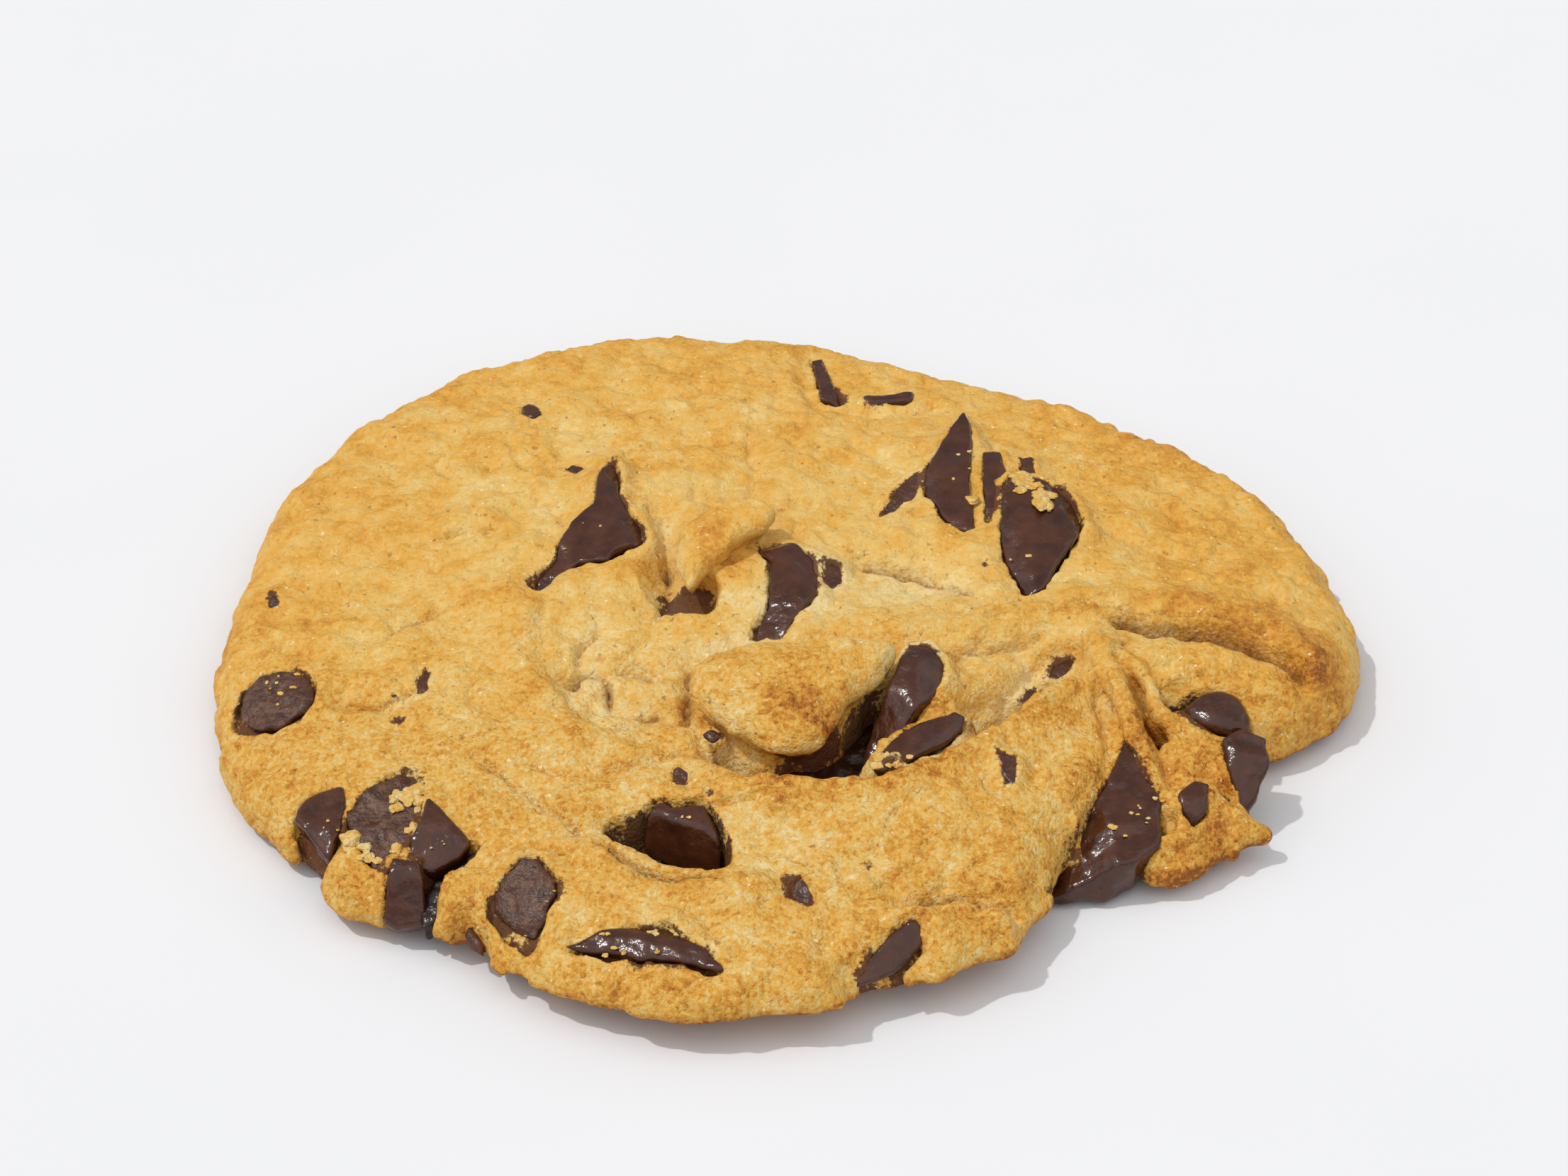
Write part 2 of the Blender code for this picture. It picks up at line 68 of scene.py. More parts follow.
# ---------------------------------------------------------------- sizes of the dough
MEAN_RADIUS = 50.2
CENTRE_HEIGHT = 9.3
RIM_HEIGHT = 5.9
RIM_SLOPE = 0.6
DOME_POWER = 0.8
RIM_ROUND = 4.2
FOOT_ROUND = 1.2
FOOT_START = 0.78
FOOT_LIFT = 0.5
FOOT_LIFT_NEAR = 3.4
FOOT_LIFT_HEADING = 282.0
FOOT_LIFT_POWER = 1.2
OUTLINE_WAVES = ((-2.8, 0.8), (2.5, -0.2), (2.1, 0.45), (0.4, 0.5))
OUTLINE_SWELLS = (
    (5, 8, 0.6), (43, 22, 1.4), (92, 55, 1.9), (110, 60, 0.7), (127, 4, 0.6), (140, 8, 1.1),
    (153, 6, 0.9), (172, 10, -0.9), (204, 10, 1.0), (208, 7, -0.8), (216, 2.5, -1.2), (222, 4, 0.9),
    (230, 2.5, 0.3), (233, 6, -1.6), (252, 10, 1.2), (260, 6, 1.3), (276, 18, 3.4), (294, 3, 1.4),
    (303, 4.5, 3.0), (305.5, 7.5, -5.5), (322, 9, 2.4), (338, 6.5, -4.2), (356, 7, 1.2),
)

# Folds: rise, width on the left of the path and on the right, and the path.
FOLDS = (
    (1.3, 4.0, 2.2, ((6, -6), (14, -6), (23, -2.5), (36, -1.3), (46, -3.8), (49, -9))),
    (-0.4, 1.5, 1.5, ((31, -3.4), (37, -4.8), (43.5, -6.4), (48, -10.4))),
    (1.3, 2.4, 6.5, ((27, -10), (21, -15.5), (14, -22), (7, -27.2), (-1, -28))),
    (-4.2, 1.9, 1.9, ((24.5, -9), (20.5, -13), (16, -17.6), (12, -21.5), (6, -24.4), (0, -24.2), (-6, -20))),
    (0.5, 1.8, 1.8, ((27.5, -8), (30, -11.5), (31.2, -17), (31.6, -23))),
    (-2.0, 1.7, 1.7, ((33.5, -12.5), (38, -13.5), (42, -15.5))),
    (-1.4, 1.4, 1.6, ((-12, 12.5), (-10.9, 5.5), (-10.7, 0.5))),
    (-1.2, 1.6, 1.6, ((-2.5, -5), (-5.3, -7.5), (-7.8, -9.8))),
    (-1.2, 1.7, 1.7, ((1.8, 43.5), (3.8, 33.6), (13.6, 34.4))),
    (-0.8, 1.8, 1.8, ((-41, -13.4), (-36, -13.4), (-33, -10.6))),
    (-1.0, 1.8, 1.8, ((9.4, -39.5), (13, -38.6), (18.5, -38.6), (20, -40.5))),
    (-0.7, 1.8, 1.4, ((-16.5, -31.6), (-12, -30.6), (-6.5, -31))),
    (0.9, 2.0, 2.0, ((-17.5, -34), (-13.5, -37), (-8, -39.6), (-3.5, -38.5))),
    (0.8, 3.0, 3.0, ((-27, 1.5), (-23, -3.5), (-24, -10), (-19, -18))),
)

# Swells and hollows: middle, reach along x and y, height.
SWELLS = (
    ((-15.5, -9.5), (8.5, 8.5), -1.3),
    ((-7.0, 5.0), (6.0, 6.0), 0.8),
    ((39.0, -8.0), (8.0, 5.0), 1.5),
    ((15.0, -30.0), (13.0, 8.0), 0.9),
    ((35.5, -24.0), (6.5, 9.0), -3.2),
    ((27.5, -34.5), (5.5, 6.5), -3.0),
    ((-36.0, -29.0), (7.0, 6.0), -0.6),
    ((-20.0, 9.0), (9.0, 10.0), 0.5),
    ((19.0, 13.0), (11.0, 11.0), 0.6),
    ((10.0, 3.0), (6.0, 4.0), -0.5),
    ((-11.8, 4.5), (1.8, 5.0), -1.2),
    ((10.5, 5.0), (5.0, 3.6), -0.8),
    ((2.6, -22.0), (4.2, 2.2), -1.6),
    ((7.2, -18.2), (2.2, 2.4), -1.4),
)

# Fine creases and cracks: depth, width on the left and on the right, and the path.
CREASES = (
    (1.6, 0.5, 0.9, ((24.5, -9), (20.7, -12.8), (17.3, -16.2), (13.3, -21), (7, -25.1), (3.5, -25.4),
                     (-0.6, -24.9), (-4.1, -21.8), (-8.7, -18.4))),
    (0.9, 0.4, 0.6, ((29, -2.9), (33, -3.9), (36.5, -4.3), (40, -5.0), (43.5, -6.2), (46.4, -8.0), (47.8, -11))),
    (0.6, 0.4, 0.5, ((24, -0.9), (31, -1.9), (36.5, -2.6), (41.5, -3.4), (45.2, -5.4))),
    (1.3, 0.5, 0.8, ((5.5, 7), (7.5, 6), (10, 6), (12.5, 5), (14, 3.5), (16, 2.5), (17.5, 0.5))),
    (0.9, 0.4, 0.4, ((-22, -11.1), (-20.3, -11.1), (-18.9, -9.4), (-16.7, -9.9), (-16.2, -14.5))),
    (0.8, 0.35, 0.35, ((-16.7, -9.9), (-14.2, -8.6), (-12.6, -10.2), (-11.2, -9.4))),
    (0.6, 0.3, 0.3, ((-18.9, -9.4), (-19.6, -6.6), (-17.8, -4.6), (-18.2, -2.4))),
    (0.6, 0.3, 0.3, ((-16.2, -14.5), (-14.2, -15.6), (-12.6, -15.2), (-10.6, -16.6))),
    (0.5, 0.9, 0.7, ((-12.4, 12.5), (-11.8, 8.5), (-11.5, 4.5), (-11.4, 0.5), (-12.8, -3.5))),
    (0.9, 0.5, 0.6, ((-2.5, -6.5), (-5.3, -8.2), (-8.4, -10.2), (-9.8, -14.5), (-9.4, -18.5))),
    (0.8, 0.5, 0.5, ((9.4, -39.5), (12.9, -38.6), (18.5, -38.6), (19.6, -40.3))),
    (1.2, 0.5, 0.7, ((-17.6, -32.4), (-14.1, -35.5), (-10.7, -37.7), (-7.3, -38.3), (-5, -37.3))),
    (0.8, 0.5, 0.6, ((-41, -13.4), (-36.1, -13.4), (-33.1, -10.6))),
    (0.5, 0.6, 0.9, ((-38.9, -5.3), (-33.6, 0), (-27.1, 2.5))),
    (0.5, 0.6, 1.2, ((14.6, -3.6), (18.3, -1.8), (20.5, -0.6), (24.3, 1.2))),
    (0.7, 0.5, 1.4, ((-4, -8.7), (2, -8.6), (8, -8.8), (12, -9.4), (17, -8.2), (24, -5.2))),
    (0.6, 0.5, 0.8, ((-29, -21), (-24, -25.4), (-20.4, -29.8), (-17.2, -32.2))),
    (0.5, 0.4, 0.6, ((27.3, -12), (28.4, -17), (28.2, -22), (25.4, -28))),
    (0.5, 0.5, 0.7, ((-24.6, -22), (-17.5, -24.5), (-11.5, -21.8), (-8, -20.4))),
    (0.4, 0.4, 0.6, ((-4.8, 13.5), (-3.2, 20), (-4.4, 26), (-3.6, 32))),
    (0.4, 0.4, 0.8, ((-37.5, 10), (-31.5, 12.5), (-27, 11.5))),
    (0.4, 0.5, 0.9, ((28, 14), (33.5, 10), (38.5, 8.5), (44, 9.5))),
    (0.35, 0.5, 0.8, ((-6, 38.5), (-12, 35.5), (-17.5, 36.5))),
)

# Edges where one layer of dough laps over the next, the high side on the left of the path: rise of the high
# side, fall of the low side, reach of each, softness of the edge, and the path.
STEPS = (
    (0.7, 0.6, 2.6, 1.4, 0.45, ((16, -4.3), (21, -3.2), (26, -2.5), (31, -2.6), (36, -3.4), (40, -4.2), (44, -5.6),
                               (46.8, -7.9), (48, -11.4))),
    (0.35, 0.45, 2.0, 1.0, 0.25, ((25, 0.3), (31, -0.3), (36.5, -0.7), (41.5, -1.8), (45.2, -3.8), (47.6, -6.8))),
    (0.5, 0.8, 3.0, 2.0, 0.4, ((27.4, -9.6), (22.6, -13.8), (17.9, -18.4), (14.2, -22.4), (10.6, -25.6), (7, -26.7),
                               (2.5, -26.7), (-1.5, -25), (-5.5, -22))),
    (0.4, 1.2, 3.0, 2.5, 0.5, ((22.6, -37), (23.8, -33.6), (26.9, -27.6), (30, -20.5), (30.8, -17))),
    (0.5, 0.6, 1.6, 1.4, 0.25, ((-4.6, -36.4), (-8, -36.8), (-11, -35.9), (-14.3, -34), (-17.8, -31.6))),
    (0.4, 0.5, 3.5, 3.0, 0.9, ((-8.6, -21.6), (-12.6, -20.8), (-18.4, -17.2), (-22.6, -11.8), (-24.2, -6),
                               (-23.4, 0.5))),
    (0.5, 0.5, 2.0, 2.0, 0.5, ((33.4, -8.6), (31.2, -13), (30.4, -18), (32.2, -24))),
    (0.5, 0.7, 1.6, 1.6, 0.4, ((28.2, -6.6), (31.6, -9.2), (33.6, -12.4), (33.8, -16.5))),
    (0.3, 0.4, 2.5, 2.5, 0.6, ((19.8, -37.2), (15, -36.4), (9.6, -37.8), (4.6, -41))),
    (0.3, 0.4, 3.0, 3.0, 0.8, ((-24.6, 3.2), (-30, 1.4), (-35.4, -2), (-40.6, -6.6))),
)

# Places where the crumb is torn and coarse: middle, reach along x and y, how coarse.
TORN = (((36, -24), (5.5, 9), 1.0), ((28, -36), (6, 3), 0.5), ((-4, -46), (10, 3), 0.35), ((-34, -32), (5, 5), 0.4),
        ((17, -38), (9, 4), 0.3))

# Lumps that stand proud and overhang: name, lowest point, height of the top at the middle, its tilt
# and the heading it tilts to, fall of the top towards its edge, rounding of the edge, share by which the
# side leans in below, softness of the join, and the outline at the top.
LUMPS = (
    ("nose", 6.4, 12.9, 9, 262, 1.3, 1.3, 0.55, 0.2,
     ((-9.6, -15.3), (-9.0, -12.6), (-6.5, -11.0), (-1.5, -10.3), (4, -10.1), (8.4, -10.4), (9.8, -11.4),
      (9.2, -13.2), (7.6, -15.2), (5.9, -16.8), (4.8, -18.6), (3.9, -20.6), (2.5, -22.2), (0.5, -23.2),
      (-1.5, -22.8), (-3.2, -21.9), (-5.6, -20), (-8.4, -17.6))),
    ("small_lump", 7.4, 12.8, 9, 215, 0.8, 1.0, 0.5, 0.2,
     ((-10.5, 2.5), (-11, 6.5), (-10, 9), (-8, 10.6), (-5, 11.4), (-2, 10.6), (-1.2, 9), (-2.2, 7.4),
      (-3.8, 6.6), (-4.7, 5.2), (-7, 3.6), (-8, 1.6), (-9, -0.2), (-10, 0))),
    ("crumb", 0.9, 5.6, 12, 285, 1.0, 0.9, 0.12, 0.4,
     ((30.6, -21.9), (32.1, -20.4), (33.2, -17.2), (35.7, -15.6), (37.4, -16.6), (39, -17.6), (38.4, -19.4),
      (38.4, -22), (39.8, -25), (40.4, -26.6), (39.4, -28.4), (37.4, -29.4), (35.6, -31), (33.6, -32.2),
      (31.6, -32.4), (30.2, -31.2), (30.6, -29.4), (32.6, -28.2), (32.9, -26.6), (31.6, -24.8))),
    ("nose_tail", 6.5, 9.2, 4, 200, 1.2, 1.5, 0.0, 1.2,
     ((-2.8, 3.8), (-1.6, 1.6), (-3.5, -1.6), (-6.2, -4.8), (-8.4, -6.4), (-8.6, -4.4), (-6.4, -1.2), (-4.8, 2.2))),
    ("crevice_blob", 6.0, 9.4, 10, 300, 0.5, 0.8, 0.0, 0.4,
     ((7.4, -23.6), (8.6, -21.6), (10.0, -21.8), (10.2, -23.2), (8.6, -24.4))),
)

# Strands of dough: points along the middle, each with its height and the strand's radius.
STRANDS = (
    ((27.4, -5.0, 8.4, 1.2), (27.9, -6.6, 8.9, 1.2), (28.9, -10.7, 9.2, 1.1), (29.9, -15.0, 8.9, 1.0),
     (30.6, -17.4, 8.2, 0.9), (31.3, -19.4, 7.1, 0.9), (31.9, -21.6, 5.9, 1.2), (32.6, -24.0, 5.2, 1.0)),
    ((29.6, -7.4, 8.4, 1.0), (30.7, -8.9, 8.6, 0.9), (32.5, -11.4, 8.3, 0.8), (33.0, -14.4, 7.5, 0.7),
     (34.4, -16.0, 6.7, 0.7), (35.6, -16.9, 6.3, 0.9), (37.0, -18.2, 6.1, 1.0), (38.8, -18.9, 5.9, 0.6)),
    ((38.2, -25.4, 3.6, 1.7), (40.4, -26.0, 2.9, 1.3), (41.8, -26.2, 2.7, 0.9)),
    ((33.4, -14.6, 6.0, 1.1), (35.4, -13.9, 5.8, 1.0), (37.2, -15.8, 5.4, 0.9)),
    ((30.9, -21.2, 5.6, 0.7), (30.2, -22.0, 5.5, 0.5)),
)
STRAND_SOFTNESS = 0.9

# Deep places in the dough: height of the floor, how far up its walls chocolate colour is painted (partly chocolate that
# has run, partly painted shade deep in the hole), and the outline.
PITS = (
    (7.0, 0.2, ((-12.4, 2.6), (-10.6, 3.2), (-8.6, 3.4), (-6.6, 2.2), (-6.8, -0.6), (-8.2, -2.2), (-10.6, -1.8),
                (-12.2, 0))),
    (4.4, 3.6, ((-2.6, -22.4), (-0.4, -20.6), (3.2, -19.6), (5, -17), (7, -13.8), (9, -12.4), (9.8, -15.2),
                (8.8, -18.6), (7.4, -21), (5.6, -23.4), (2.5, -24.4), (-0.4, -24.2))),
    (2.6, 6.5, ((-16.4, -30.2), (-14.8, -29.8), (-13, -29.5), (-11.5, -28), (-10.3, -28.7), (-7.3, -28.2),
                (-6.4, -30.1), (-5.3, -33.4), (-5.5, -35.6), (-8.3, -36), (-10.8, -35.2), (-12.8, -33.8),
                (-14.7, -32.3))),
    (1.2, 5.4, ((-31.9, -34.4), (-30.4, -33.6), (-28.2, -32), (-27, -32.2), (-28.4, -34.4), (-29.9, -36.2),
                (-30.9, -38.8), (-32, -38.8))),
    (3.6, 2.6, ((33.2, -12.6), (35.4, -11.9), (38, -11.2), (38.6, -12.4), (36, -14.4), (33.8, -14.2))),
    (2.4, 0.6, ((37.2, -22.4), (38.4, -21.2), (39.6, -23.4), (38.6, -24.8))),
    (1.4, 2.0, ((31.2, -27.2), (32.8, -26.4), (34, -26.4), (34, -27.8), (32.4, -28.6))),
    (3.4, 0.0, ((31.9, -13.2), (33.2, -15), (34.6, -16.4), (34.4, -17.8), (32.8, -18.4), (31.8, -16.6))),
)

# Chunks of chocolate: name, height of the top face, thickness, share by which the foot is narrower,
# tilt and the heading it tilts to in degrees, and the outline of the top face.
CHUNKS = (
    ("chunk_left_outer", 6.3, 3.8, 0.1, 14, 210,
     ((-43.9, -27.9), (-43.5, -26.6), (-42.9, -25.4), (-41.2, -24.7), (-39.5, -24.7), (-39.1, -27.1),
      (-39.4, -30.1), (-40.3, -32.5), (-41, -32.3), (-42, -30.9), (-42.7, -29.3))),
    ("chunk_left_middle", 6.8, 3.8, 0.1, 13, 235,
     ((-39, -27.4), (-37.6, -25.7), (-36.4, -24.2), (-34.7, -23.1), (-33.2, -23.7), (-32, -25.7),
      (-32.1, -28.9), (-32.8, -31.9), (-33.4, -34.3), (-34.4, -35.6), (-35.2, -35.7), (-36.2, -34.5),
      (-37.1, -33.1), (-37.8, -31.5), (-39, -30.9))),
    ("chunk_left_inner", 7.1, 4.0, 0.1, 14, 285,
     ((-31.8, -27.7), (-30.5, -29), (-29, -30.7), (-27.4, -32.1), (-28.5, -34), (-30.6, -35.2), (-32.2, -35),
      (-33.2, -34.6), (-33, -32.3), (-32.3, -30.2))),
    ("chunk_left_rim", 6.0, 4.6, 0.1, 22, 262,
     ((-34.4, -34.2), (-31.9, -34.6), (-31.5, -36.6), (-31.4, -38.6), (-31.7, -39.6), (-34.2, -40),
      (-35.5, -39.2), (-35, -37))),
    ("chunk_front_sliver", 6.7, 3, 0.1, 26, 252,
     ((-19.4, -44.8), (-18, -44.4), (-16.3, -43.4), (-13.3, -43), (-10, -43), (-9.2, -44.3), (-7, -45.9),
      (-5.3, -48.4), (-6.7, -48.2), (-9.6, -47.2), (-14.1, -46.4), (-17.4, -45.6))),
    ("chunk_front_pocket", 7.5, 4, 0.1, 14, 285,
     ((-12.6, -29.8), (-11.5, -28.2), (-10.3, -28.9), (-7.5, -28.4), (-6.7, -30.1), (-5.6, -33.3),
      (-5.8, -35), (-8.3, -35.3), (-10.8, -34.4), (-13, -31.7))),
    ("chunk_front_rim", 5.6, 2.6, 0.1, 38, 288,
     ((5.5, -47), (6.6, -45.2), (8.4, -43), (10, -41.7), (10.9, -42.1), (11.2, -43.8), (10.4, -45.1),
      (8.9, -46.6), (7.1, -47.5), (5.7, -47.9))),
    ("chunk_shard", 9.6, 5.4, 0.1, 7, 250,
     ((-17.1, 20.8), (-16.3, 18.7), (-16.4, 15.7), (-15.4, 13.2), (-14.2, 11.5), (-13.4, 9.3), (-14.1, 8.1),
      (-16.5, 6.7), (-17.2, 5.6), (-20.1, 5.5), (-21.8, 4), (-23.9, 1.2), (-24.7, 2.6), (-24.1, 4.5),
      (-22.5, 6.2), (-22, 8.8), (-21, 11.3), (-19.1, 13.7), (-18.8, 17.2), (-18.1, 19.8))),
    ("chunk_centre", 9.7, 4.6, 0.1, 10, 200,
     ((-3.4, 8), (-1.4, 8), (0.6, 7), (2.2, 5.3), (2.7, 2.9), (2.6, -0.3), (1.4, -2), (0, -4), (-0.8, -6.1),
      (-2.2, -5.8), (-4.1, -6.1), (-3.6, -3.6), (-2.5, -1.7), (-2.1, 0.6), (-2.2, 4.4), (-3.1, 6.3))),
    ("chunk_nose_side", 9.6, 5.0, 0.0, 20, 235,
     ((10.6, -9.6), (12.4, -9.5), (13.8, -11.3), (14, -12.8), (12.2, -16.7), (9.8, -19.2), (7.6, -20.4),
      (5.4, -21.4), (6.6, -18.4), (8.2, -15.8), (9.5, -12.9))),
    ("chunk_crevice", 8.9, 3.4, 0.1, 14, 300,
     ((7.2, -24.4), (7.8, -22.2), (9.8, -19.8), (12.2, -18.2), (14.6, -17), (15.9, -17.3), (15.4, -19),
      (13.6, -21), (10.8, -22.9), (8.4, -24.6))),
    ("chunk_back_first", 9.2, 4.6, 0.1, 6, 240,
     ((17.3, 29.4), (15.5, 26.3), (14.2, 23), (12.8, 20), (12.3, 18), (13.6, 15.4), (14.4, 13.4),
      (15.5, 11.5), (16.8, 10.9), (17.7, 11.2), (17.6, 14.1), (17.4, 18), (17.8, 22), (18, 26))),
    ("chunk_back_second", 9.2, 4.4, 0.1, 6, 240,
     ((18.8, 23), (20.9, 23.3), (21.1, 19.3), (20.5, 14.7), (19.6, 11.8), (18.3, 12.2), (18.7, 15.4),
      (18.6, 19.3))),
    ("chunk_back_third", 9.5, 4.8, 0.1, 9, 260,
     ((20.7, 17.9), (22.2, 18.9), (24.5, 17.6), (27.2, 15.6), (28, 13.3), (28.2, 11.1), (27.3, 8.9),
      (25.7, 6.1), (23.8, 2.1), (21.9, 0.7), (21.1, 3), (20.1, 6.1), (19.7, 9.8), (20.2, 13.7))),
    ("chunk_far_bar", 6.9, 3.2, 0.1, 6, 80,
     ((2.1, 44.2), (3.4, 44.7), (4.6, 38.8), (5.5, 36), (5.2, 35.2), (3, 35.6), (2.7, 38.8))),
    ("chunk_far_side", 7.1, 2.8, 0.1, 6, 80,
     ((7.4, 36.7), (10.5, 37.3), (12.6, 37.8), (12.3, 35.9), (7.7, 35.3))),
    ("chunk_right_crease", 6.7, 4.4, 0.1, 14, 280,
     ((35.6, -13.8), (37.2, -12.3), (39.3, -11.6), (40.9, -12.3), (41.8, -14.6), (41.6, -16.8), (39.8, -17),
      (37.3, -16), (36, -15.2))),
    ("chunk_right_edge", 6.0, 4.4, 0.1, 20, 320,
     ((38.6, -18.3), (40.4, -17.3), (42.8, -17.8), (42.9, -20.6), (42.4, -23.4), (41.4, -25.4), (40.2, -24),
      (39, -21.2))),
    ("chunk_notch_slab", 5.4, 4.2, 0, 10, 270,
     ((30, -17.8), (31.9, -17.8), (32, -21.4), (32.6, -27), (32.2, -30.4), (30, -32.2), (27.6, -33.6),
      (25.3, -35.2), (21.8, -35.8), (23.6, -31), (26.4, -25.6), (28.7, -21.5))),
    ("chip_front_left", 6.8, 3.2, 0.3, 25, 243,
     ((-24.4, -36.4), (-23, -35), (-21.4, -35.4), (-19.9, -37.4), (-19.6, -39.2), (-20.6, -40.8), (-21.2, -42.8),
      (-22.2, -43.8), (-24.2, -42.4), (-26, -40.2), (-26.2, -38.4), (-25.2, -37.5))),
    ("chip_in_crumb", 6.3, 3.2, 0.1, 16, 285,
     ((34.2, -25), (35.7, -23.3), (37.0, -24), (36.7, -26.6), (35.3, -28.4), (34.3, -27))),
    ("chip_far_left", 7.6, 2.4, 0.1, 6, 90,
     ((-27.2, 34.2), (-26.4, 34.9), (-25.3, 34.3), (-25, 32.9), (-25.7, 31.9), (-26.8, 32.1))),
)
# Round chips, flat side up: name, middle, height of the flat side, radius, tilt and its heading.
CHIPS = (
    ("chip_left", (-47.0, -12.0), 6.7, 4.1, 17, 200),
)
CHIP_CORNERS = 20

# Specks and slivers of chocolate too small for a piece each: height, thickness, tilt, heading, outline.
SPECKS = (
    (9, 1.6, 10, 250, ((12.9, 20.6), (11.6, 19.9), (10.2, 18.3), (9, 15.7), (7.9, 13.4), (9.2, 14), (11.7, 16), (12.6, 17.6))),
    (9.2, 2, 8, 260, ((22.5, 23), (24, 23.3), (24, 19.6), (22.1, 19.3))),
    (9.6, 1.6, 12, 300, ((17.9, -22.4), (20.1, -23.4), (19.6, -27.2), (18.4, -25.4))),
    (7, 1.6, 20, 190, ((-49.6, 3.3), (-49, 4.4), (-47.9, 2.4), (-48.4, 1.3), (-49.2, 2.2))),
    (8.1, 1.4, 10, 200, ((-34.5, -10.4), (-33.5, -8.9), (-32.8, -9.5), (-32.9, -12), (-34, -12.5))),
    (7.8, 1.2, 10, 200, ((-37, -12.4), (-36, -11.9), (-35.4, -12.5), (-36, -13.1))),
    (7.8, 1.2, 10, 200, ((-36, -16.4), (-35.4, -15.4), (-34.4, -16), (-35, -17))),
    (8.7, 1.4, 10, 250, ((-10.6, -24.1), (-10, -23.4), (-8.9, -24.4), (-9, -26), (-10.4, -26))),
    (8.9, 1.2, 10, 250, ((-7.6, -27), (-7, -26.4), (-6.4, -27), (-7, -28.1), (-7.6, -27.6))),
    (7.6, 1.6, 24, 268, ((-0.7, -37.9), (1, -37.3), (2.2, -39), (1.6, -40.2), (-0.2, -39.6))),
    (7.8, 1.0, 20, 270, ((5.9, -34.9), (6.4, -35.2), (6.8, -36.5), (6.1, -36.3))),
    (7.4, 1.0, 12, 310, ((23, -9.6), (24, -7.5), (26.6, -6.1), (26, -8), (24.5, -9.8))),
    (6.9, 1.0, 10, 310, ((20.4, -12.2), (21.4, -10.5), (22.6, -9.9), (22.5, -11.5), (21.4, -12.4))),
    (3.6, 1.6, 55, 238, ((-28, -40.4), (-27.4, -39.8), (-26.4, -41.4), (-26.5, -42.5), (-27.6, -41.6))),
    (8.3, 1, 6, 200, ((-22.6, 22.3), (-21.5, 23.5), (-20, 22.5), (-21, 21.5))),
    (8.5, 1.0, 15, 250, ((-8.1, -18.7), (-7, -18.1), (-6, -19), (-7, -19.7))),
    (9.5, 1.2, 15, 330, ((2.9, 5.4), (4.9, 5.6), (5.1, 3.2), (3.9, 1.3), (2.9, 2.3))),
    (12.2, 0.8, 10, 260, ((-1.2, -15.1), (-0.6, -14.8), (-0.2, -15.3), (-0.8, -15.7))),
    (9.4, 1.0, 8, 250, ((17.6, 5.6), (18.4, 6.2), (18.9, 5.2), (18.1, 4.7))),
)
# Chocolate that melted: beside the chunk at the near left rim, and in the crevice under the nose: height, thickness, tilt, heading, outline.
MELTS = (
    (4.7, 3.0, 20, 262, ((-31, -34.8), (-29.2, -33.6), (-27.2, -31.8), (-26.6, -32.8), (-28.2, -35), (-29.6, -37.4),
                         (-30.6, -39), (-31.8, -39.8), (-32, -38), (-31.6, -36.4))),
    (5.2, 2.0, 3, 300, ((-1.6, -20), (2.6, -19), (5, -16.6), (7, -13.4), (8.8, -15), (8.6, -18.2), (6.9, -20.2),
                        (5.2, -23), (2.5, -24), (-0.2, -23.6))),
)

# ---------------------------------------------------------------- noise
LATTICE = 256
_draw = np.random.RandomState(20)
ORDER = _draw.permutation(LATTICE).astype(np.int32)
_slopes = _draw.normal(size=(LATTICE, 3))
SLOPES = (_slopes / np.linalg.norm(_slopes, axis=1, keepdims=True)).astype(np.float32)


def noise(x, y, z, size, seed=0):
    """Smooth noise from about -1 to 1, whose lumps are about as wide as size."""
    cells, parts, fades = [], [], []
    for axis, shift in ((x, 17.31), (y, 41.73), (z, 5.97)):
        scaled = np.asarray(axis, np.float32) / size + shift * (seed + 1)
        cell = np.floor(scaled)
        part = scaled - cell
        cells.append(cell.astype(np.int32))
        parts.append(part)
        fades.append(part * part * part * (part * (part * 6.0 - 15.0) + 10.0))
    total = 0.0
    for dx in (0, 1):
        weight_x = fades[0] if dx else 1.0 - fades[0]
        row = ORDER[(cells[0] + dx) % LATTICE]
        for dy in (0, 1):
            weight_y = weight_x * (fades[1] if dy else 1.0 - fades[1])
            line = ORDER[(row + cells[1] + dy) % LATTICE]
            for dz in (0, 1):
                weight = weight_y * (fades[2] if dz else 1.0 - fades[2])
                slope = SLOPES[ORDER[(line + cells[2] + dz) % LATTICE]]
                total = total + weight * (slope[..., 0] * (parts[0] - dx) + slope[..., 1] * (parts[1] - dy)
                                          + slope[..., 2] * (parts[2] - dz))
    return total * 1.6


# ---------------------------------------------------------------- distances
def smooth_step(low, high, value):
    share = np.clip((value - low) / (high - low), 0.0, 1.0)
    return share * share * (3.0 - 2.0 * share)


def rounded(path, closed=False):
    """A path with its corners cut twice, so that it bends softly."""
    points = np.array(path, float)
    for _ in range(2):
        after = np.roll(points, -1, axis=0) if closed else points[1:]
        before = points if closed else points[:-1]
        cut = np.stack((0.75 * before + 0.25 * after, 0.25 * before + 0.75 * after), axis=1).reshape(-1, 2)
        points = cut if closed else np.concatenate((points[:1], cut, points[-1:]))
    return points


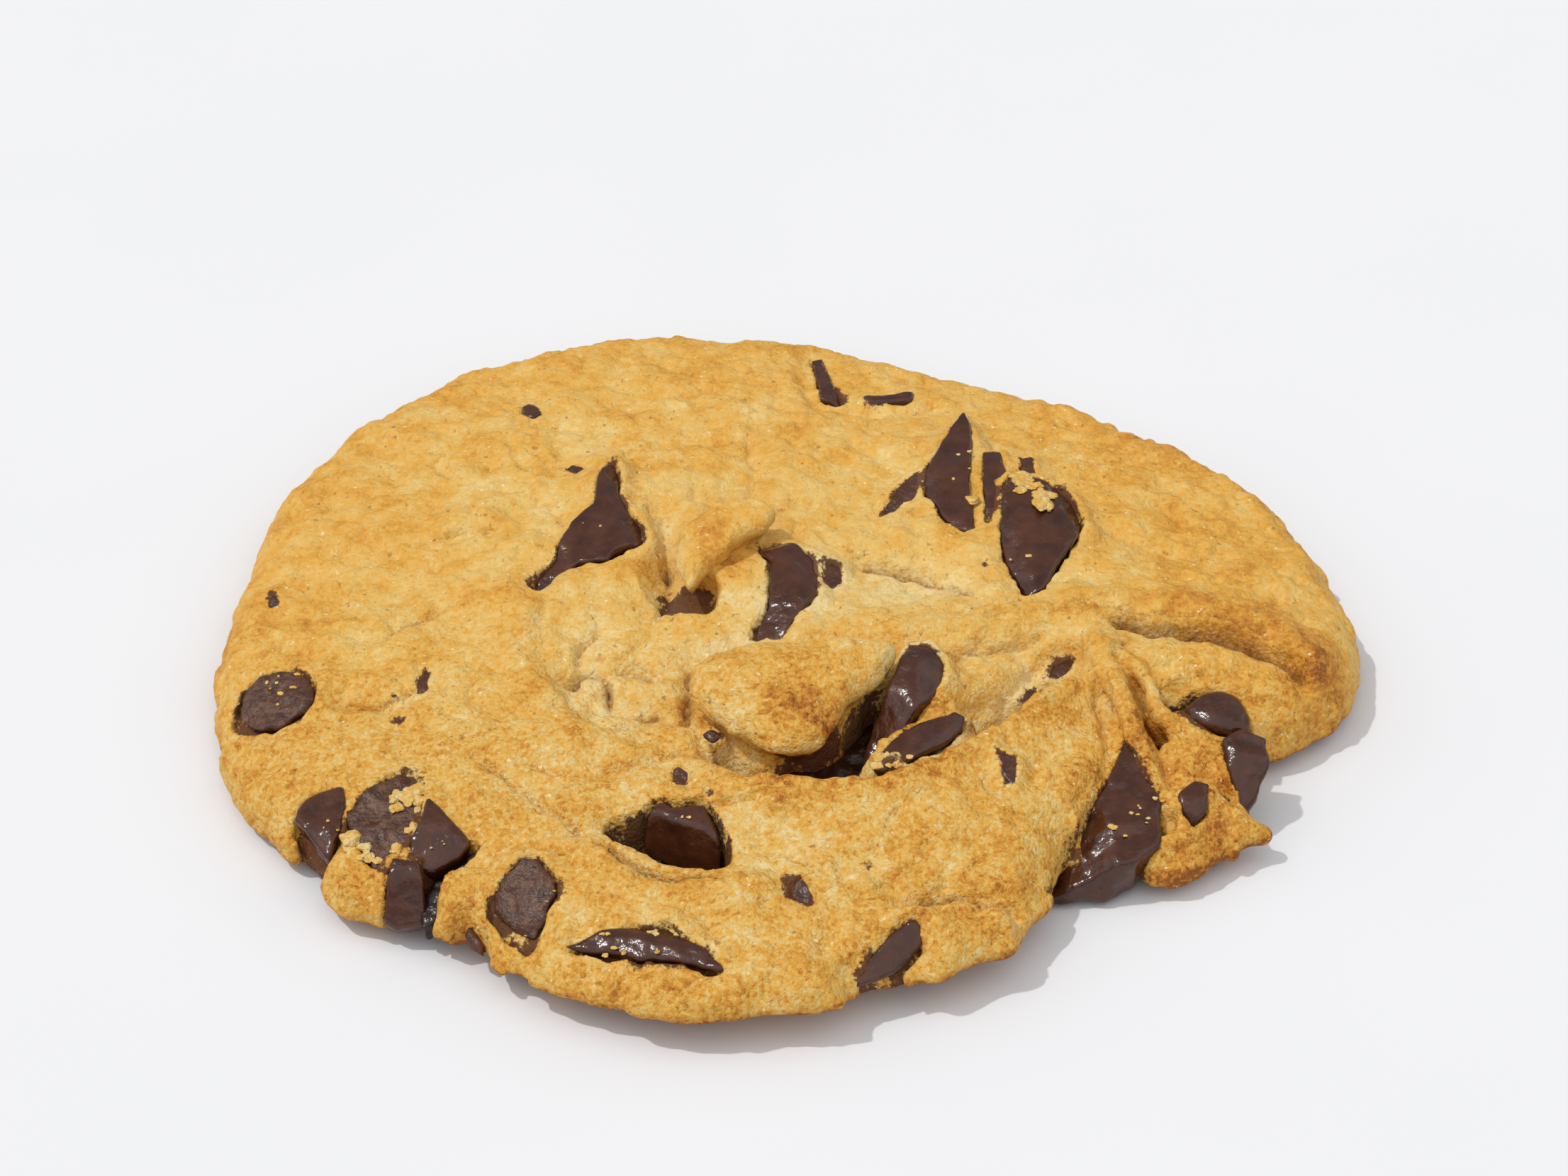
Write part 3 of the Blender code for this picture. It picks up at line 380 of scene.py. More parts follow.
def path_distance(x, y, path):
    """Signed distance from a path, above zero on its left, and how far along it the nearest point is."""
    best, side, along = np.full(x.shape, 1e9, np.float32), np.ones(x.shape, np.float32), np.zeros(x.shape, np.float32)
    done = 0.0
    for (ax, ay), (bx, by) in zip(path, path[1:]):
        run_x, run_y = bx - ax, by - ay
        length = math.hypot(run_x, run_y)
        share = np.clip(((x - ax) * run_x + (y - ay) * run_y) / length ** 2, 0.0, 1.0)
        off_x, off_y = x - ax - share * run_x, y - ay - share * run_y
        apart = np.hypot(off_x, off_y)
        near = apart < best
        best = np.where(near, apart, best)
        side = np.where(near, np.where(run_x * off_y - run_y * off_x > 0, 1.0, -1.0), side)
        along = np.where(near, done + share * length, along)
        done += length
    return best * side, along, done


def outline_distance(x, y, outline):
    """Signed distance from a closed outline, below zero inside it."""
    best = np.full(x.shape, 1e9, np.float32)
    inside = np.zeros(x.shape, bool)
    for (ax, ay), (bx, by) in zip(outline, np.roll(outline, -1, axis=0)):
        run_x, run_y = bx - ax, by - ay
        share = np.clip(((x - ax) * run_x + (y - ay) * run_y) / (run_x ** 2 + run_y ** 2 + 1e-12), 0.0, 1.0)
        best = np.minimum(best, np.hypot(x - ax - share * run_x, y - ay - share * run_y))
        crosses = (ay > y) != (by > y)
        if by != ay:
            inside ^= crosses & (x < ax + (y - ay) * run_x / run_y)
    return np.where(inside, -best, best)


def round_join(a, b, radius):
    """The part inside both a and b, its edge rounded."""
    return np.minimum(-radius, np.maximum(a, b)) + np.hypot(np.maximum(a + radius, 0.0),
                                                          np.maximum(b + radius, 0.0))


def soft_union(a, b, softness):
    share = np.clip(0.5 + 0.5 * (b - a) / softness, 0.0, 1.0)
    return b + (a - b) * share - softness * share * (1.0 - share)


def outline_radius(heading):
    radius = MEAN_RADIUS
    for turn, (cosine, sine) in enumerate(OUTLINE_WAVES, start=1):
        radius = radius + cosine * np.cos(turn * heading) + sine * np.sin(turn * heading)
    degrees = np.degrees(heading)
    for middle, half_width, height in OUTLINE_SWELLS:
        apart = (degrees - middle + 180.0) % 360.0 - 180.0
        radius = radius + height * np.exp(-(apart / half_width) ** 2)
    return radius


# ---------------------------------------------------------------- chunks' places
def middle_of(outline):
    return tuple(np.mean(np.array(outline, float), axis=0))


def chip_outline(middle, radius):
    return [(middle[0] + radius * math.cos(2 * math.pi * i / CHIP_CORNERS),
             middle[1] + radius * math.sin(2 * math.pi * i / CHIP_CORNERS)) for i in range(CHIP_CORNERS)]


def all_chunks():
    """Each chunk and chip alike: name, top, depth, taper, tilt, heading, outline."""
    rows = [row for row in CHUNKS]
    for name, middle, top, radius, tilt, heading in CHIPS:
        rows.append((name, top, 0.9 * radius, 0.5, tilt, heading, chip_outline(middle, radius)))
    return rows


def resting_place(x, y, z, tilt, heading):
    """The place, in millimetres, of a piece whose top face leans by tilt towards a heading."""
    turn = math.radians(heading)
    lean = Matrix.Rotation(math.radians(tilt), 4, Vector((-math.sin(turn), math.cos(turn), 0.0)))
    return Matrix.Translation(Vector((x, y, z))) @ lean


def plane_height(x, y, middle, top, tilt, heading):
    turn = math.radians(heading)
    return top - math.tan(math.radians(tilt)) * ((x - middle[0]) * math.cos(turn) + (y - middle[1]) * math.sin(turn))


# ---------------------------------------------------------------- dough
STEP = 0.32
BED_DEPTH = 1.1
CREASE_WIDTH = 1.25
CREASE_DEPTH = 1.2
OVERLAP = 0.2
PIT_STAIN_AND_SHADE = 0.45
LOWERING = 0.4
FLUSH = ("chip_left", "chip_front_left", "chip_far_left", "chip_in_crumb", "chunk_front_rim", "chunk_left_middle")
GRID_LOW = np.array((-55.0, -51.5, -1.0))
GRID_HIGH = np.array((55.0, 53.5, 14.4))
BAND = 1.0


def top_surface(x, y):
    """Height of the dough's top, as if its rim weren't rounded, and a map of painted shade along its creases, cracks
    and steps.
    """
    flat = np.zeros_like(x)
    warp_x = x + 0.45 * noise(x, y, flat, 7.0, 1) + 0.2 * noise(x, y, flat, 2.6, 2)
    warp_y = y + 0.45 * noise(x, y, flat, 7.0, 3) + 0.2 * noise(x, y, flat, 2.6, 4)
    heading = np.arctan2(y, x)
    share = np.clip(np.hypot(x, y) / outline_radius(heading), 0.0, 1.0)
    rim = RIM_HEIGHT - RIM_SLOPE * np.sin(heading) * share
    height = rim + (CENTRE_HEIGHT - rim) * (1.0 - share ** 2) ** DOME_POWER
    # Painted shade: a map that darkens the crust along creases, cracks and the foot of steps.
    crease = np.zeros_like(x)
    for rise, left, right, path in FOLDS:
        apart, _, _ = path_distance(warp_x, warp_y, rounded(path))
        height += rise * np.exp(-(apart / np.where(apart > 0, left, right)) ** 2)
    for (mid_x, mid_y), (reach_x, reach_y), rise in SWELLS:
        height += rise * np.exp(-((x - mid_x) / reach_x) ** 2 - ((y - mid_y) / reach_y) ** 2)
    for depth, left, right, path in CREASES:
        apart, along, length = path_distance(warp_x, warp_y, rounded(path))
        ends = smooth_step(0.0, 2.0, along) * smooth_step(0.0, 2.0, length - along)
        wide = CREASE_WIDTH * np.where(apart > 0, left, right)
        profile = (0.35 + 0.65 * ends) * np.exp(-np.abs(apart) / wide)
        height -= CREASE_DEPTH * depth * profile + 0.7 * ends * min(depth, 1.0) * np.exp(-(apart / 0.38) ** 2)
        crease += ends * min(depth + 0.3, 1.2) * np.exp(-np.abs(apart) / 0.55)
    for rise, fall, left, right, soft, path in STEPS:
        apart, along, length = path_distance(warp_x, warp_y, rounded(path))
        ends = smooth_step(0.0, 3.0, along) * smooth_step(0.0, 3.0, length - along)
        high = smooth_step(-soft, soft, apart)
        height += ends * rise * high * np.exp(-np.maximum(apart, 0.0) / left)
        height -= ends * fall * (1.0 - high) * np.exp(-np.maximum(-apart, 0.0) / right)
        crease += 0.6 * ends * fall * np.exp(-((apart + 0.3) / 0.5) ** 2)
    lines = smooth_step(0.0, 0.35, noise(x, y, flat, 10.0, 32)) * np.exp(-(noise(x, y, flat, 7.0, 31) / 0.10) ** 2)
    height -= 0.45 * lines
    crease += 0.5 * lines
    height += 0.40 * noise(x, y, flat, 13.0, 5) + 0.42 * noise(x, y, flat, 6.0, 6) + 0.16 * noise(x, y, flat, 3.2, 33)
    return height, crease


def chocolate_rows():
    """Every piece of chocolate alike: how far the dough comes down to it, top, tilt, heading, outline."""
    chunks = [(0.9 if name in FLUSH else LOWERING, top, tilt, heading, outline)
              for name, top, _, _, tilt, heading, outline in all_chunks()]
    return chunks, [(0.9, top, tilt, heading, outline) for top, _, tilt, heading, outline in SPECKS]


def chunk_beds(x, y, height):
    """Lowers the dough under each chunk and brings it up to the chunk's edge.

    It also says how near the nearest chocolate or pit is, and how high that chocolate's top is or how far up a pit's
    walls chocolate colour is painted, there partly as painted shade."""
    flat = np.zeros_like(x)
    ragged = 0.35 * noise(x, y, flat, 1.9, 7) + 0.25 * noise(x, y, flat, 0.9, 8)
    nearest = np.full(x.shape, 50.0, np.float32)
    level = np.zeros_like(x)
    chunks, specks = chocolate_rows()
    for small, rows in ((False, chunks), (True, specks)):
        for lowering, top, tilt, heading, outline in rows:
            middle = middle_of(outline)
            apart = outline_distance(x, y, np.array(outline))
            plane = plane_height(x, y, middle, top, tilt, heading)
            close = np.exp(-(np.maximum(apart, 0.0) / (0.7 if small else 1.3)) ** 2) * (apart < 6)
            rise = plane - 0.1 + 0.7 * ragged - height
            height = height + close * np.where(rise > 0, 0.95, lowering) * rise
            inside = smooth_step(0.2, -0.3, apart + OVERLAP + ragged * 0.7)
            height = height * (1 - inside) + (plane - (0.6 if small else BED_DEPTH)) * inside
            level = np.where(apart < nearest, plane, level)
            nearest = np.minimum(nearest, apart)
    for floor, run, outline in PITS:
        apart = outline_distance(x, y, rounded(outline, closed=True))
        inside = smooth_step(0.35, -0.5, apart + 0.6 * ragged)
        height = height * (1 - inside) + np.minimum(height, floor) * inside
        # Pit walls take chocolate colour a little beyond the outline and up to floor plus run: partly chocolate that
        # has run, partly painted shade deep in the hole.
        near = (apart < 0.5) & (apart < nearest)
        level = np.where(near, floor + run, level)
        nearest = np.where(near, apart - PIT_STAIN_AND_SHADE, nearest)
    return height, nearest, level


def lump_field(x, y, z, row):
    name, low, high, tilt, heading, drop, round_edge, lean, softness, outline = row
    smooth_outline = rounded(outline, closed=True)
    flat = np.zeros_like(x)
    side = outline_distance(x, y, smooth_outline) + 0.3 * noise(x, y, flat, 2.4, 40) + 0.15 * noise(x, y, flat, 1.1, 41)
    torn = 1.0 if name == "crumb" else 0.0
    side = side + torn * (0.6 * noise(x, y, flat, 3.0, 43) + 0.35 * noise(x, y, flat, 1.2, 44))
    deep = np.clip(-side / 5.0, 0.0, 1.0)
    top = plane_height(x, y, middle_of(outline), high, tilt, heading) - drop * (1.0 - deep) ** 2
    top = top + (0.25 + 0.5 * torn) * noise(x, y, flat, 4.0, 42) + 0.5 * torn * noise(x, y, flat, 1.8, 45)
    leaning = side[..., None] + lean * np.maximum(top[..., None] - round_edge - z, 0.0)
    return round_join(round_join(leaning, z - top[..., None], round_edge), low - z, 1.0)


def strand_field(x, y, z, points):
    """Distance from a round strand whose radius changes along it."""
    best = np.full((*x.shape, z.shape[-1]), 1e3, np.float32)
    for (ax, ay, az, ar), (bx, by, bz, br) in zip(points, points[1:]):
        run = (bx - ax, by - ay, bz - az)
        square = sum(r * r for r in run)
        share = ((x - ax) * run[0] + (y - ay) * run[1])[..., None] + (z - az) * run[2]
        share = np.clip(share / square, 0.0, 1.0)
        apart = (((x - ax)[..., None] - share * run[0]) ** 2 + ((y - ay)[..., None] - share * run[1]) ** 2
                 + (z - az - share * run[2]) ** 2) ** 0.5
        best = np.minimum(best, apart - ar - share * (br - ar))
    return best


def box_part(points, axes_x):
    """The part of the grid around some points."""
    low = np.maximum((points.min(0)[:2] - 4 - GRID_LOW[:2]) / STEP, 0).astype(int)
    high = ((points.max(0)[:2] + 4 - GRID_LOW[:2]) / STEP).astype(int)
    return slice(low[0], high[0]), slice(low[1], high[1])


def dough_field():
    axes = [np.arange(low, high, STEP, dtype=np.float32) for low, high in zip(GRID_LOW, GRID_HIGH)]
    x, y = np.meshgrid(axes[0], axes[1], indexing="ij")
    z = axes[2][None, None, :]
    height, crease = top_surface(x, y)
    plain_height = height.copy()
    height, nearest, level = chunk_beds(x, y, height)
    slope_x, slope_y = np.gradient(height, STEP)
    steep = np.sqrt(1.0 + np.minimum(slope_x ** 2 + slope_y ** 2, 4.0))
    heading = np.arctan2(y, x)
    flat = np.zeros_like(x)
    radius = outline_radius(heading) + 0.3 * noise(x, y, flat, 5.0, 9) + 0.35 * noise(x, y, flat, 2.2, 10)
    reach = np.hypot(x, y)
    near = np.maximum(np.cos(heading - math.radians(FOOT_LIFT_HEADING)), 0.0) ** 2
    outward = np.clip((reach / radius - FOOT_START) / (1.0 - FOOT_START), 0.0, 1.5)
    foot = (FOOT_LIFT + FOOT_LIFT_NEAR * near) * outward ** FOOT_LIFT_POWER
    field = round_join((z - height[..., None]) / steep[..., None], (reach - radius)[..., None], RIM_ROUND)
    field = round_join(field, foot[..., None] - z, FOOT_ROUND)
    for row in LUMPS:
        outline = np.array(row[-1])
        low = [int(v) for v in (outline.min(0) - 4 - GRID_LOW[:2]) / STEP]
        high = [int(v) for v in (outline.max(0) + 4 - GRID_LOW[:2]) / STEP]
        part = (slice(max(low[0], 0), high[0]), slice(max(low[1], 0), high[1]))
        lump = lump_field(x[part], y[part], z, row)
        field[part] = soft_union(field[part], lump, row[8])
    for points in STRANDS:
        part = box_part(np.array(points), axes)
        field[part] = soft_union(field[part], strand_field(x[part], y[part], z, points), STRAND_SOFTNESS)
    # Crumb: lumps and pits of several sizes, only near the surface.
    index = np.nonzero(np.abs(field) < BAND)
    px, py, pz = axes[0][index[0]], axes[1][index[1]], axes[2][index[2]]
    rough = 0.28 * noise(px, py, pz, 4.2, 11) + 0.25 * noise(px, py, pz, 2.1, 12)
    rough += 0.10 * (0.35 - np.abs(noise(px, py, pz, 2.6, 13))) + 0.20 * noise(px, py, pz, 1.15, 14)
    holes = -0.30 * smooth_step(0.18, 0.62, noise(px, py, pz, 1.7, 15)) - 0.22 * smooth_step(
        0.2, 0.6, noise(px, py, pz, 1.0, 16))
    rough += holes
    torn = 0.0
    for (mid_x, mid_y), (reach_x, reach_y), amount in TORN:
        torn = torn + amount * np.exp(-((px - mid_x) / reach_x) ** 2 - ((py - mid_y) / reach_y) ** 2)
    rough += torn * (0.55 * noise(px, py, pz, 2.8, 17) + 0.35 * noise(px, py, pz, 1.4, 18))
    calm = smooth_step(0.2, 1.6, pz - foot[index[0], index[1]])
    calm *= 0.35 + 0.65 * smooth_step(0.2, 1.2, nearest[index[0], index[1]])
    field[index] -= rough * (0.25 + 0.75 * calm)
    maps = {"height": height, "plain": plain_height, "nearest": nearest, "level": level, "inset": radius - reach,
            "crease": crease, "foot": foot}
    return field, maps


def polygons_of(field, low, step):
    """Points, in millimetres, and four-sided faces of a field's zero surface."""
    grid = openvdb.FloatGrid(BAND)
    grid.copyFromArray(np.ascontiguousarray(np.clip(field, -BAND, BAND), np.float32))
    points, _, quads = grid.convertToPolygons(isovalue=0.0, adaptivity=0.0)
    return points * step + np.asarray(low), quads


def largest_part(points, quads):
    """The biggest connected part of a mesh, without any loose crumbs of surface."""
    label = np.arange(len(points))
    edges = np.concatenate([quads[:, [i, (i + 1) % 4]] for i in range(4)])
    while True:
        low = np.minimum(label[edges[:, 0]], label[edges[:, 1]])
        new = label.copy()
        np.minimum.at(new, edges[:, 0], low)
        np.minimum.at(new, edges[:, 1], low)
        new = new[new]
        if np.array_equal(new, label):
            break
        label = new
    kept = label == np.bincount(label).argmax()
    quads = quads[kept[quads[:, 0]]]
    number = np.cumsum(kept) - 1
    return points[kept], number[quads]


def mesh_of(name, points, quads):
    mesh = bpy.data.meshes.new(name)
    mesh.vertices.add(len(points))
    mesh.vertices.foreach_set("co", np.asarray(points, np.float32).ravel())
    mesh.loops.add(quads.size)
    mesh.loops.foreach_set("vertex_index", np.asarray(quads, np.int32).ravel())
    mesh.polygons.add(len(quads))
    mesh.polygons.foreach_set("loop_start", np.arange(len(quads), dtype=np.int32) * quads.shape[1])
    mesh.update(calc_edges=True)
    return mesh


def to_frame(points):
    """Millimetres from the middle of the round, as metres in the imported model's frame."""
    return (np.asarray(points, float) + np.array(SHIFT)) * MM


def positions(mesh):
    co = np.empty(len(mesh.vertices) * 3, np.float32)
    mesh.vertices.foreach_get("co", co)
    return co.reshape(-1, 3)


def add_attribute(mesh, name, values):
    mesh.attributes.new(name, "FLOAT", "POINT").data.foreach_set("value", np.asarray(values, np.float32))


def finish_piece(name, mesh, material, replaced=()):
    """Makes a mesh a piece of the cookie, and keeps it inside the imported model's box."""
    inside = np.clip(positions(mesh), np.array(CAD_BOX[0]) + BOX_MARGIN, np.array(CAD_BOX[1]) - BOX_MARGIN)
    mesh.vertices.foreach_set("co", inside.astype(np.float32).ravel())
    mesh.update()
    mesh.shade_smooth()
    mesh.materials.append(material)
    piece = bpy.data.objects.new(name, mesh)
    bpy.context.scene.collection.objects.link(piece)
    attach(piece, "root")
    if replaced:
        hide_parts(*replaced)
    return piece


def decimated(mesh, faces):
    """The mesh with about that many triangles, where it has more."""
    triangles = sum(len(p.vertices) - 2 for p in mesh.polygons) if len(mesh.polygons) < 100 else 2 * len(mesh.polygons)
    if triangles <= faces:
        return mesh
    blank = bpy.data.objects.new("blank", mesh)
    bpy.context.scene.collection.objects.link(blank)
    modifier = blank.modifiers.new("fewer", "DECIMATE")
    modifier.ratio = faces / triangles
    bpy.context.view_layer.update()
    view = bpy.context.evaluated_depsgraph_get()
    fewer = bpy.data.meshes.new_from_object(blank.evaluated_get(view))
    bpy.data.objects.remove(blank, do_unlink=True)
    return fewer


DOUGH_TRIANGLES = 190000


def sampled(values, points):
    """A map's values at points, between the grid's lines."""
    spot = [np.clip((points[:, i] - GRID_LOW[i]) / STEP, 0, values.shape[i] - 1.001) for i in (0, 1)]
    cell = [s.astype(int) for s in spot]
    part = [s - c for s, c in zip(spot, cell)]
    total = 0.0
    for dx in (0, 1):
        for dy in (0, 1):
            weight = (part[0] if dx else 1 - part[0]) * (part[1] if dy else 1 - part[1])
            total = total + weight * values[cell[0] + dx, cell[1] + dy]
    return total


def softened(values, reach):
    """A map blurred over a distance, one axis at a time."""
    half = max(int(2.5 * reach / STEP), 1)
    steps = np.arange(-half, half + 1) * STEP
    weights = np.exp(-0.5 * (steps / reach) ** 2)
    weights /= weights.sum()
    for axis in (0, 1):
        padded = np.pad(values, [(half, half) if i == axis else (0, 0) for i in (0, 1)], mode="edge")
        total = 0.0
        for i, weight in enumerate(weights):
            cut = slice(i, i + values.shape[axis])
            total = total + weight * (padded[cut] if axis == 0 else padded[:, cut])
        values = total
    return values


# Where the crust is browner or paler: middle, reach along x and y, amount.
BROWNING = (
    ((5, 34), (55, 22), 0.06), ((4, -36), (34, 13), -0.05), ((42, 2), (8, 9), 0.06),
    ((36, 20), (14, 14), 0.08), ((-49, 2), (7, 20), 0.08), ((-36, -36), (9, 7), 0.08),
    ((0, -16), (9, 6), 0.14), ((0.5, -21.5), (5, 2.5), 0.4), ((-6.6, 6), (4.5, 5.5), 0.24), ((35.7, -25), (6, 9), 0.40),
    ((-15.5, -9.5), (9, 9), -0.14), ((8, 2), (9, 5), -0.20), ((-3, -2), (5, 5), -0.18),
    ((44, -12), (7, 8), 0.12), ((38, 9), (10, 9), 0.08), ((40, -1.0), (10, 1.5), 0.03), ((8, -38), (18, 9), 0.12),
    ((-30, -38), (14, 8), 0.12), ((-44, -14), (6, 14), 0.10), ((18, -1), (7, 4), -0.12),
    ((-7, 15), (12, 12), -0.06), ((31, -17), (2.5, 9), 0.22), ((14, 22), (10, 14), -0.1),
    ((15, -12), (9, 3), -0.25), ((37, -8.5), (6, 2), -0.10), ((49, -9), (3, 6), 0.22),
)


def dough_piece(material):
    field, maps = dough_field()
    points, quads = polygons_of(field, GRID_LOW, STEP)
    points, quads = largest_part(points, quads)
    mesh = decimated(mesh_of("dough_crust", to_frame(points), quads), DOUGH_TRIANGLES)
    spots = positions(mesh) / MM - np.array(SHIFT)
    proud = maps["plain"] - softened(maps["plain"], 3.5)
    brown = 0.36 + 0.16 * np.clip(proud, -1.5, 1.5)
    x = sampled(maps["inset"], spots)
    brown = sampled(brown, spots) + 0.10 * np.exp(-(np.maximum(x, 0) / 5.0) ** 2)
    for (mid_x, mid_y), (reach_x, reach_y), amount in BROWNING:
        brown = brown + amount * np.exp(-((spots[:, 0] - mid_x) / reach_x) ** 2 - ((spots[:, 1] - mid_y) / reach_y) ** 2)
    # Painted shade along creases and cracks: the crust is browner there.
    crease = np.clip(sampled(maps["crease"], spots), 0.0, 1.2)
    brown += 0.10 * crease
    # Browner low down by the underside: partly the bottom crust's own browning, partly painted shade under the lifted
    # rim.
    brown += 0.40 * smooth_step(1.2, 0.1, spots[:, 2] - sampled(maps["foot"], spots))
    brown += 0.08 * noise(spots[:, 0], spots[:, 1], spots[:, 2], 9.0, 21)
    brown += 0.08 * noise(spots[:, 0], spots[:, 1], spots[:, 2], 4.0, 22)
    add_attribute(mesh, "browning", np.clip(brown, 0.0, 1.0))
    add_attribute(mesh, "crease", crease)
    add_attribute(mesh, "coarse", 0.45 + 0.55 * smooth_step(8.0, -26.0, spots[:, 1]))
    nearest = sampled(maps["nearest"], spots)
    # Chocolate colour on the dough: real smears and spills near the chunks, and painted shade in the gaps at their
    # edges and in the pits.
    smear_and_shade = np.exp(-(np.maximum(nearest + 0.3, 0.0) / 0.32)) * (0.8 + 0.5 * noise(spots[:, 0], spots[:, 1], spots[:, 2], 1.6, 23))
    spill = smooth_step(0.15, 0.6, noise(spots[:, 0], spots[:, 1], spots[:, 2], 3.4, 24))
    smear_and_shade += 0.6 * spill * np.exp(-(np.maximum(nearest, 0.0) / 0.7))
    smear_and_shade = smear_and_shade * smooth_step(1.2, 0.4, spots[:, 2] - sampled(maps["level"], spots))
    add_attribute(mesh, "cocoa_and_shade", np.clip(smear_and_shade, 0.0, 1.0))
    return finish_piece("dough_crust", mesh, material, ("dough",))


# ---------------------------------------------------------------- chocolate
CHUNK_STEP = 0.2
CHUNK_ROUND = 0.45

# How a chunk differs from a plain slab: rise above its place, and cuts that fall away from its top face,
# each a heading, a slope in degrees and how far out from the middle it begins.
SHAPES = {
    "chunk_left_outer": (0.2, ((250, 20, 1.3), (350, 30, 1.4))),
    "chunk_left_middle": (0.0, ((60, 14, 3.4), (190, 14, 2.5))),
    "chunk_left_inner": (0.7, ((262, 20, -0.4), (30, 42, 1.8))),
    "chunk_left_rim": (0.3, ((264, 38, -1.6), (0, 50, 1.3))),
    "chunk_front_sliver": (0.4, ((75, 35, 0.5),)),
    "chunk_front_pocket": (0.3, ((250, 58, -0.9), (10, 34, 1.9))),
    "chunk_front_rim": (0.05, ((150, 12, 0.6),)),
    "chunk_shard": (0.6, ((15, 38, 2.4), (225, 10, 1.2))),
    "chunk_centre": (0.7, ((262, 16, 0.6), (10, 34, 1.6), (100, 30, 5.0))),
    "chunk_nose_side": (1.4, ((215, 24, 0.5), (0, 40, 1.0), (70, 30, 2.6))),
    "chunk_crevice": (0.3, ((320, 30, 0.8), (150, 25, 1.2))),
    "chunk_back_first": (0.5, ((200, 22, 1.4), (0, 24, 1.8))),
    "chunk_back_second": (0.3, ((0, 34, 0.5), (262, 24, 2.5))),
    "chunk_back_third": (0.6, ((20, 36, 2.6), (195, 26, 2.2), (90, 25, 5.5))),
    "chunk_far_bar": (0.3, ((350, 35, 0.5),)),
    "chunk_far_side": (0.2, ((270, 35, 0.4),)),
    "chunk_right_crease": (1.0, ((20, 30, 1.6), (190, 24, 1.2))),
    "chunk_right_edge": (0.9, ((262, 36, -0.6), (200, 40, 0.6))),
    "chunk_notch_slab": (0.4, ((272, 74, 5.0), (190, 30, 0.6))),
    "chip_in_crumb": (0.2, ((250, 40, 0.8),)),
    "chip_far_left": (0.2, ()),
    "chip_left": (0.3, ((40, 22, 2.2), (215, 12, 0.8))),
    "chip_front_left": (0.3, ((228, 18, -0.3), (30, 12, 1.6), (150, 14, 2.4))),
}


def chunk_points(outline, depth, taper, place, seed, cuts=(), edge=CHUNK_ROUND, wobble=0.16):
    """A chunk with worn edges, meshed in its own frame and put in its place."""
    middle = middle_of(outline)
    local = np.array(outline, float) - np.array(middle)
    low = np.array((*(local.min(0) - 1.2), -depth - 1.2))
    high = np.array((*(local.max(0) + 1.2), 1.5))
    axes = [np.arange(a, b, CHUNK_STEP, dtype=np.float32) for a, b in zip(low, high)]
    x, y, z = np.meshgrid(*axes, indexing="ij")
    side = outline_distance(x[:, :, 0], y[:, :, 0], local)[:, :, None]
    reach = float(np.abs(local).max())
    side = side - taper * reach * np.minimum(z, 0.0) / depth + 0.5 * wobble * noise(x, y, 0 * z, 1.2, seed + 2)
    field = round_join(side, z + 0.05, edge)
    for heading, slope, start in cuts:
        turn, fall = math.radians(heading), math.radians(slope)
        out = x * math.cos(turn) + y * math.sin(turn) - start
        field = round_join(field, out * math.sin(fall) + z * math.cos(fall), 0.6 * edge)
    field = round_join(field, -depth - z, edge)
    field = field - wobble * noise(x, y, z, 2.4, seed) - 0.35 * wobble * noise(x, y, z, 0.9, seed + 1)
    points, quads = polygons_of(field, low, CHUNK_STEP)
    points, quads = largest_part(points, quads)
    turn = np.array(place)
    points = points @ turn[:3, :3].T + turn[:3, 3]
    return to_frame(points), quads


def chunk_pieces(glossy, dusty):
    """One piece for each chunk, and the points of all their surfaces."""
    surfaces = {}
    for number, (name, top, depth, taper, tilt, heading, outline) in enumerate(all_chunks()):
        middle = middle_of(outline)
        rise, cuts = SHAPES[name]
        place = resting_place(middle[0], middle[1], top + rise, tilt, heading)
        rough = name in DUSTY
        points, quads = chunk_points(outline, depth, taper, place, 30 + 3 * number, cuts,
                                     edge=ROUNDER.get(name, CHUNK_ROUND), wobble=ROUGHER.get(name, 0.16))
        surfaces[name] = points
        mesh = mesh_of(name + "_look", points, quads)
        finish_piece(name + "_look", mesh, dusty if rough else glossy, (name,))
    return surfaces


ROUGHER = {"chip_left": 0.3, "chip_front_left": 0.34, "chunk_left_middle": 0.34, "chunk_notch_slab": 0.3,
           "chunk_front_sliver": 0.24, "chunk_right_edge": 0.24}
DUSTY = ("chip_left", "chip_front_left", "chunk_left_middle")
ROUNDER = {"chunk_right_crease": 1.4, "chip_left": 0.7, "chip_front_left": 0.8, "chunk_left_middle": 0.5}


def joined_pieces(name, rows, material, seed, wobble, sink=0.0):
    """Small bodies of chocolate as one piece."""
    all_points, all_quads, count = [], [], 0
    for number, (top, depth, tilt, heading, outline) in enumerate(rows):
        middle = middle_of(outline)
        place = resting_place(middle[0], middle[1], top - sink, tilt, heading)
        points, quads = chunk_points(outline, depth, 0.1, place, seed + 3 * number, edge=0.3, wobble=wobble)
        all_points.append(points)
        all_quads.append(quads + count)
        count += len(points)
    mesh = mesh_of(name, np.concatenate(all_points), np.concatenate(all_quads))
    return finish_piece(name, mesh, material)


